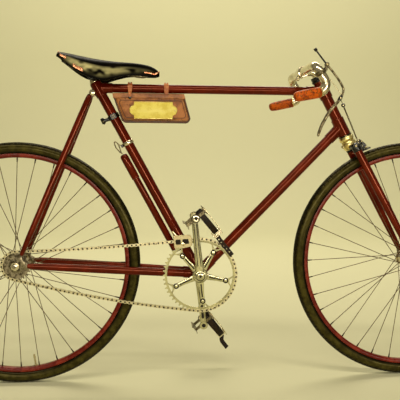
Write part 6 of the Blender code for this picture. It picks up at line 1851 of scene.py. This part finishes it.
def stem():
    neck = [in_steering(0, 0, LOCKNUT_TOP + 0.0006), in_steering(0, 0, LOCKNUT_TOP + 0.0056)]
    neck += smooth_path([in_steering(-0.002, 0, LOCKNUT_TOP + 0.0136), by_bar(0.02, 0, -0.009),
            by_bar(0, 0, 0)], 6)
    neck = bar(neck, mm((11, 11)) * 2 + mm((11.4, 11.2)) * 6 + mm((12.4, 11.8)) * (len(neck) - 8))
    sleeve = rod(by_bar(0, -0.019, 0), by_bar(0, 0.019, 0), 0.0165, sides=48)
    ear = bar((by_bar(-0.014, 0, -0.006), by_bar(-0.0245, 0, -0.0125)), mm(6.2, 8), sides=24, square=4)
    body = cast([neck, sleeve, ear])
    bore = rod(by_bar(0, -0.03, 0), by_bar(0, 0.03, 0), 0.0126, sides=48)
    done(cut(body, bore), "stem_forged", "fork", NICKEL, ("stem",), sharp=50)
    bolt = by_bar(-0.0205, 0, -0.0105)
    pieces = [turned(mm((0, 13), (3, 13), (4.6, 12.2), (4.6, 7), (0, 7)), bolt, ACROSS * side, 6)
        for side in (-1, 1)]
    top = by_bar(0.015, 0, 0.0005)
    pieces.append(turned(mm((0, 9), (3.6, 9), (5.2, 8), (5.2, -4), (0, -4)), top,
            (STEER_UP + STEER_AHEAD * 0.7).normalized(), 6))
    done(pieces, "stem_bolts", "fork", DULL_NICKEL, sharp=30)


# ---------------------------------------------------------------- brake
LEVER_OUT = -0.19
KNOB = by_bar(0.0235, LEVER_OUT + 0.022, -0.131)


def by_lever(*places):
    """Places (ahead, up) from the handlebar's middle, in the lever's plane, written in millimetres."""
    return [by_bar(ahead, LEVER_OUT, up) for ahead, up in mm(*places)]


def brake_lever():
    """Clamp on the right drop, adjuster above its bolt, curved arm, joint and blade."""
    bolt, here, top = by_lever((26.2, -12.5), (1.8, -24), (16.5, 37))
    along = (STEER_AHEAD * 0.11 - STEER_UP).normalized()
    ring = turned(mm((12.7, -6), (15, -6), (15.8, -5), (15.8, 5), (15, 6), (12.7, 6)), here, along, 56)
    ear = bar((here + STEER_AHEAD * 0.015, bolt), mm((5, 4.6), (4, 4)), sides=24, square=4)
    arm = smooth_path(by_lever((26.2, -12.5), (30, -27), (33, -40), (36.6, -60), (38.4, -80), (37, -93),
            (29, -103), (19, -109.5)), 6)
    pieces = [ring, ear, bar(arm, mm(2.7, 4.6), sides=20, square=3)]
    blade = smooth_path(by_lever((20, -109), (10, -114.5), (-7, -121), (-29, -131.5), (-53, -147),
            (-69, -160), (-81, -173)), 6)
    sizes = []
    for i in range(len(blade)):
        share = i / (len(blade) - 1)
        sizes.append((0.0034 + 0.0008 * sin(pi * share),
                0.005 + 0.0022 * sin(pi * min(share * 1.3, 1) * 0.9)))
    sizes[-1] = (0.0016, 0.0024)
    pieces.append(bar(blade, sizes, sides=24, square=3))
    done(pieces, "brake_lever_forged", "fork", CAGE_STEEL, ("brake_lever",), sharp=45)

    run = (top - bolt).normalized()
    length = (top - bolt).length
    profile = mm((0, 2))
    for i in range(22):
        profile += [(0.0025, 0.002 + 0.0019 * i), (0.002, 0.0029 + 0.0019 * i)]
    profile += past(length, (2.2, -6), (3.6, -5.5), (4.4, -4.5), (4.4, 2), (3.6, 3.2), (0, 3.4))
    adjuster = turned(profile, bolt, run, 24)
    hub = turned(mm((0, -8.5), (4.6, -8.5), (5.6, -7.5), (5.6, 6), (4.8, 7), (0, 7)), bolt, ACROSS, 28)
    joint = by_lever((26.5, -104.5), (19, -109.5), (11, -113.8))
    fork_joint = bar(joint, mm((3.6, 5.8), (5, 6.6), (3.8, 6)), sides=24, square=3)
    barrel = turned(mm((0, -5), (3, -4.8), (5, -3.6), (5.4, 0), (5, 3.6), (3, 4.8), (0, 5)), KNOB, STEER_UP,
        24)
    done([adjuster, hub, fork_joint, barrel], "brake_lever_fittings", "fork", JAPAN,
        sharp=35)

    head = turned(mm((0, -10.8), (2.6, -10.6), (4.2, -9.6), (4.6, -8.2), (0, -8.2)), bolt, ACROSS, 24)
    rivet = turned(mm((0, -7.8), (2, -7.6), (3, -6.6), (0, -6)), joint[1], ACROSS, 20)
    cable = rod(by_bar(0.0125, LEVER_OUT, -0.03), joint[0], 0.0009, sides=10)
    collar = turned(mm((5, -1.2), (5.8, -0.8), (5.8, 0.8), (5, 1.2)), KNOB, STEER_UP, 28)
    done([head, rivet, cable, collar], "brake_lever_bolts", "fork", DULL_NICKEL, sharp=45)
    return joint[1]


T_END = (0.0275, -0.0085)


def spring_tree():
    """A wire coiled round a straight core between two points."""
    tree, take = new_tree("coiled_sheath",
        (("Start", "Vector", None), ("End", "Vector", None), ("Coil", "Float", 0.0016),
            ("Wire", "Float", 0.0006), ("Pitch", "Float", 0.0034)))
    run = add(tree, "VectorMath", take["End"], take["Start"], operation="SUBTRACT")
    length = add(tree, "VectorMath", run, operation="LENGTH", out="Value")
    turns = add(tree, "Math", length, take["Pitch"], operation="DIVIDE")
    coil = add(tree, "CurveSpiral", Resolution=9, Rotations=turns, Start_Radius=take["Coil"],
        End_Radius=take["Coil"], Height=length)
    lean = add(tree, "AlignRotationToVector", Vector=run, axis="Z")
    laid = add(tree, "Transform", coil, Translation=take["Start"], Rotation=lean)
    section = add(tree, "CurvePrimitiveCircle", Resolution=5, Radius=take["Wire"])
    wound = add(tree, "CurveToMesh", laid, section, Fill_Caps=True)
    return finish_tree(tree, (take["Finish"], wound))


def brake_cable(joint):
    """A straight cable in a coiled sheath, from the lever's joint through its barrel to a small T handle."""
    end = in_steering(T_END[0], 0, T_END[1] + 0.002)
    core = bar([joint, KNOB, KNOB.lerp(end, 0.5) + STEER_AHEAD * 0.0015, end], mm(1, 1), sides=12)
    bars = [core, rod(in_steering(T_END[0] - 0.008, 0, T_END[1]), in_steering(T_END[0] + 0.008, 0, T_END[1]),
            0.0015, sides=14)]
    done(bars, "brake_cable_core", "fork", STEEL, ("brake_cable",), sharp=60)
    sheath = grown(spring_tree(), CAGE_STEEL, Start=tuple(KNOB.lerp(end, 0.03)),
        End=tuple(KNOB.lerp(end, 0.96)))
    done(sheath, "brake_cable_sheath", "fork", CAGE_STEEL, sharp=60)


def spoon_brake():
    """A plunger in its guide on the crown's front, links beside it, and the curved shoe over the tyre."""
    inner = WHEEL_RADIUS + 0.0052
    hub = FRONT - CROWN
    hub = Vector((hub.dot(STEER_AHEAD), 0, hub.dot(STEER_UP)))
    ahead = 0.029
    middle = atan2(sqrt(inner ** 2 - (ahead - hub.x) ** 2), ahead - hub.x)
    angles = [middle + radians(a) for a in (-3.3, -2.4, -1.2, 0, 1.2, 2.4, 3.6)]
    outline = [(hub.x + inner * cos(a), hub.z + inner * sin(a)) for a in angles]
    outline += [(hub.x + (inner + t) * cos(a), hub.z + (inner + t) * sin(a))
        for a, t in zip(reversed(angles), (0.002, 0.0034, 0.004, 0.0042, 0.004, 0.0034, 0.0055))]
    shoe = softened(extruded(outline, -0.015, 0.015, CROWN, STEER_SLOPE), 0.0008)
    foot = hub.z + (inner + 0.003) * sin(middle)
    plunger = rod(in_steering(ahead, 0, foot), in_steering(ahead, 0, T_END[1] - 0.001), 0.004, sides=28)
    guide = bar((in_steering(0.0205, 0, -0.0165), in_steering(0.037, 0, -0.0165)), mm((5.8, 8), (6.2, 7.8)),
        sides=24, square=5)
    pieces = [shoe, plunger, guide]
    for side in (-1, 1):
        pieces.append(bar((in_steering(0.0345, side * 0.009, -0.015), in_steering(0.04, side * 0.01, -0.029),
                    in_steering(0.0385, side * 0.01, foot + 0.0005)), mm(2.8, 1.6), sides=16, square=4))
    pieces.append(rod(in_steering(0.0345, -0.012, -0.015), in_steering(0.0345, 0.012, -0.015), 0.0026,
            sides=18))
    done(pieces, "spoon_brake_forged", "fork", JAPAN, ("spoon_brake",), sharp=40)
    bolts = []
    for side in (-1, 1):
        for place, depth in (((0.0345, -0.015), 0.0118), ((0.0385, foot + 0.0045), 0.011),
                ((0.025, -0.0165), 0.0076)):
            bolts.append(turned(mm((0, 2.6), (1.8, 2.4), (2.9, 1.4), (3.1, 0), (0, -1)),
                    in_steering(place[0], side * depth, place[1]), ACROSS * side, 20))
    bolts.append(turned(mm((4.1, 0), (5.8, 0.2), (5.8, 1.4), (4.1, 1.6)), in_steering(ahead, 0, -0.01),
            STEER_UP, 24))
    done(bolts, "spoon_brake_bolts", "fork", DULL_NICKEL, sharp=40)


fork_crown()
fork_blades()
axle("front_axle", FRONT, "fork", -FORK_END_OUTER, FORK_END_OUTER)
handlebar()
stem()
brake_cable(brake_lever())
spoon_brake()


# ---------------------------------------------------------------- camera, light and floor
def camera():
    lens = bpy.data.cameras.new("camera")
    lens.lens = 65.76
    lens.shift_x = -0.04
    lens.shift_y = 0.0212
    made = bpy.data.objects.new("camera", lens)
    bpy.context.scene.collection.objects.link(made)
    made.location = REAR + Vector((0.4002, -2.1404, 0.3156))
    made.rotation_euler = (radians(85.7544), radians(-0.0109), radians(-4.6065))
    bpy.context.scene.camera = made


def lamp(name, place, target, size, power):
    """A soft rectangular lamp, faintly warm, that looks at a place."""
    light = bpy.data.lights.new(name, "AREA")
    light.shape = "RECTANGLE"
    light.size, light.size_y = size
    light.energy = power
    light.color = hue("#fff4e0")[:3]
    made = bpy.data.objects.new(name, light)
    bpy.context.scene.collection.objects.link(made)
    made.location = place
    made.rotation_euler = (target - place).to_track_quat("-Z", "Y").to_euler()


def backdrop():
    """A floor that curves up into a wall behind the bicycle, in one pale plaster colour."""
    floor = REAR.z - WHEEL_RADIUS
    made = finish("pale_plaster", "#d6d5b0", (), (0.9, 0.9), (), level=0.2)
    profile = mm((-6000, 0)) + [(3.8 + 1.6 * sin(a), 1.6 - 1.6 * cos(a))
        for a in (radians(9 * i) for i in range(11))] + mm((5400, 6500))
    bm = bmesh.new()
    rows = [[bm.verts.new((x, y, floor + z)) for y, z in profile] for x in (-8.0, 9.0)]
    for i in range(len(profile) - 1):
        bm.faces.new((rows[0][i], rows[1][i], rows[1][i + 1], rows[0][i + 1]))
    sweep = solid(bm, name="backdrop")
    sweep.data.materials.append(made)
    sweep.data.shade_smooth()


def studio():
    middle = (BRACKET + CROWN) / 2
    lamp("key", middle + Vector((-0.4, -1.9, 2.6)), middle, (3.8, 0.4), 60)
    lamp("low", middle + Vector((0.3, -3.2, 0.25)), middle, (3.4, 0.3), 56)
    lamp("back", middle + Vector((0.2, 2.4, 2.7)), middle, (3.0, 0.7), 50)
    lamp("wall", middle + Vector((0.1, 2.6, 3.8)), middle + Vector((0.1, 5.4, 0.2)), (6.0, 0.9), 168)
    world = bpy.data.worlds.new("studio")
    bpy.context.scene.world = world
    world.use_nodes = True
    tree = world.node_tree
    seen = add(tree, "LightPath")
    for way in ("Is Glossy Ray", "Is Transmission Ray"):
        seen = add(tree, "Math", seen, tree.nodes["Light Path"].outputs[way], operation="MAXIMUM")
    strength = add(tree, "Math", seen, 0.22, 0.1, operation="MULTIPLY_ADD")
    feed(tree, tree.nodes["Background"], {"Color": hue("#efe4c0"), "Strength": strength})
    bpy.context.scene.view_settings.view_transform = "Standard"


camera()
backdrop()
studio()
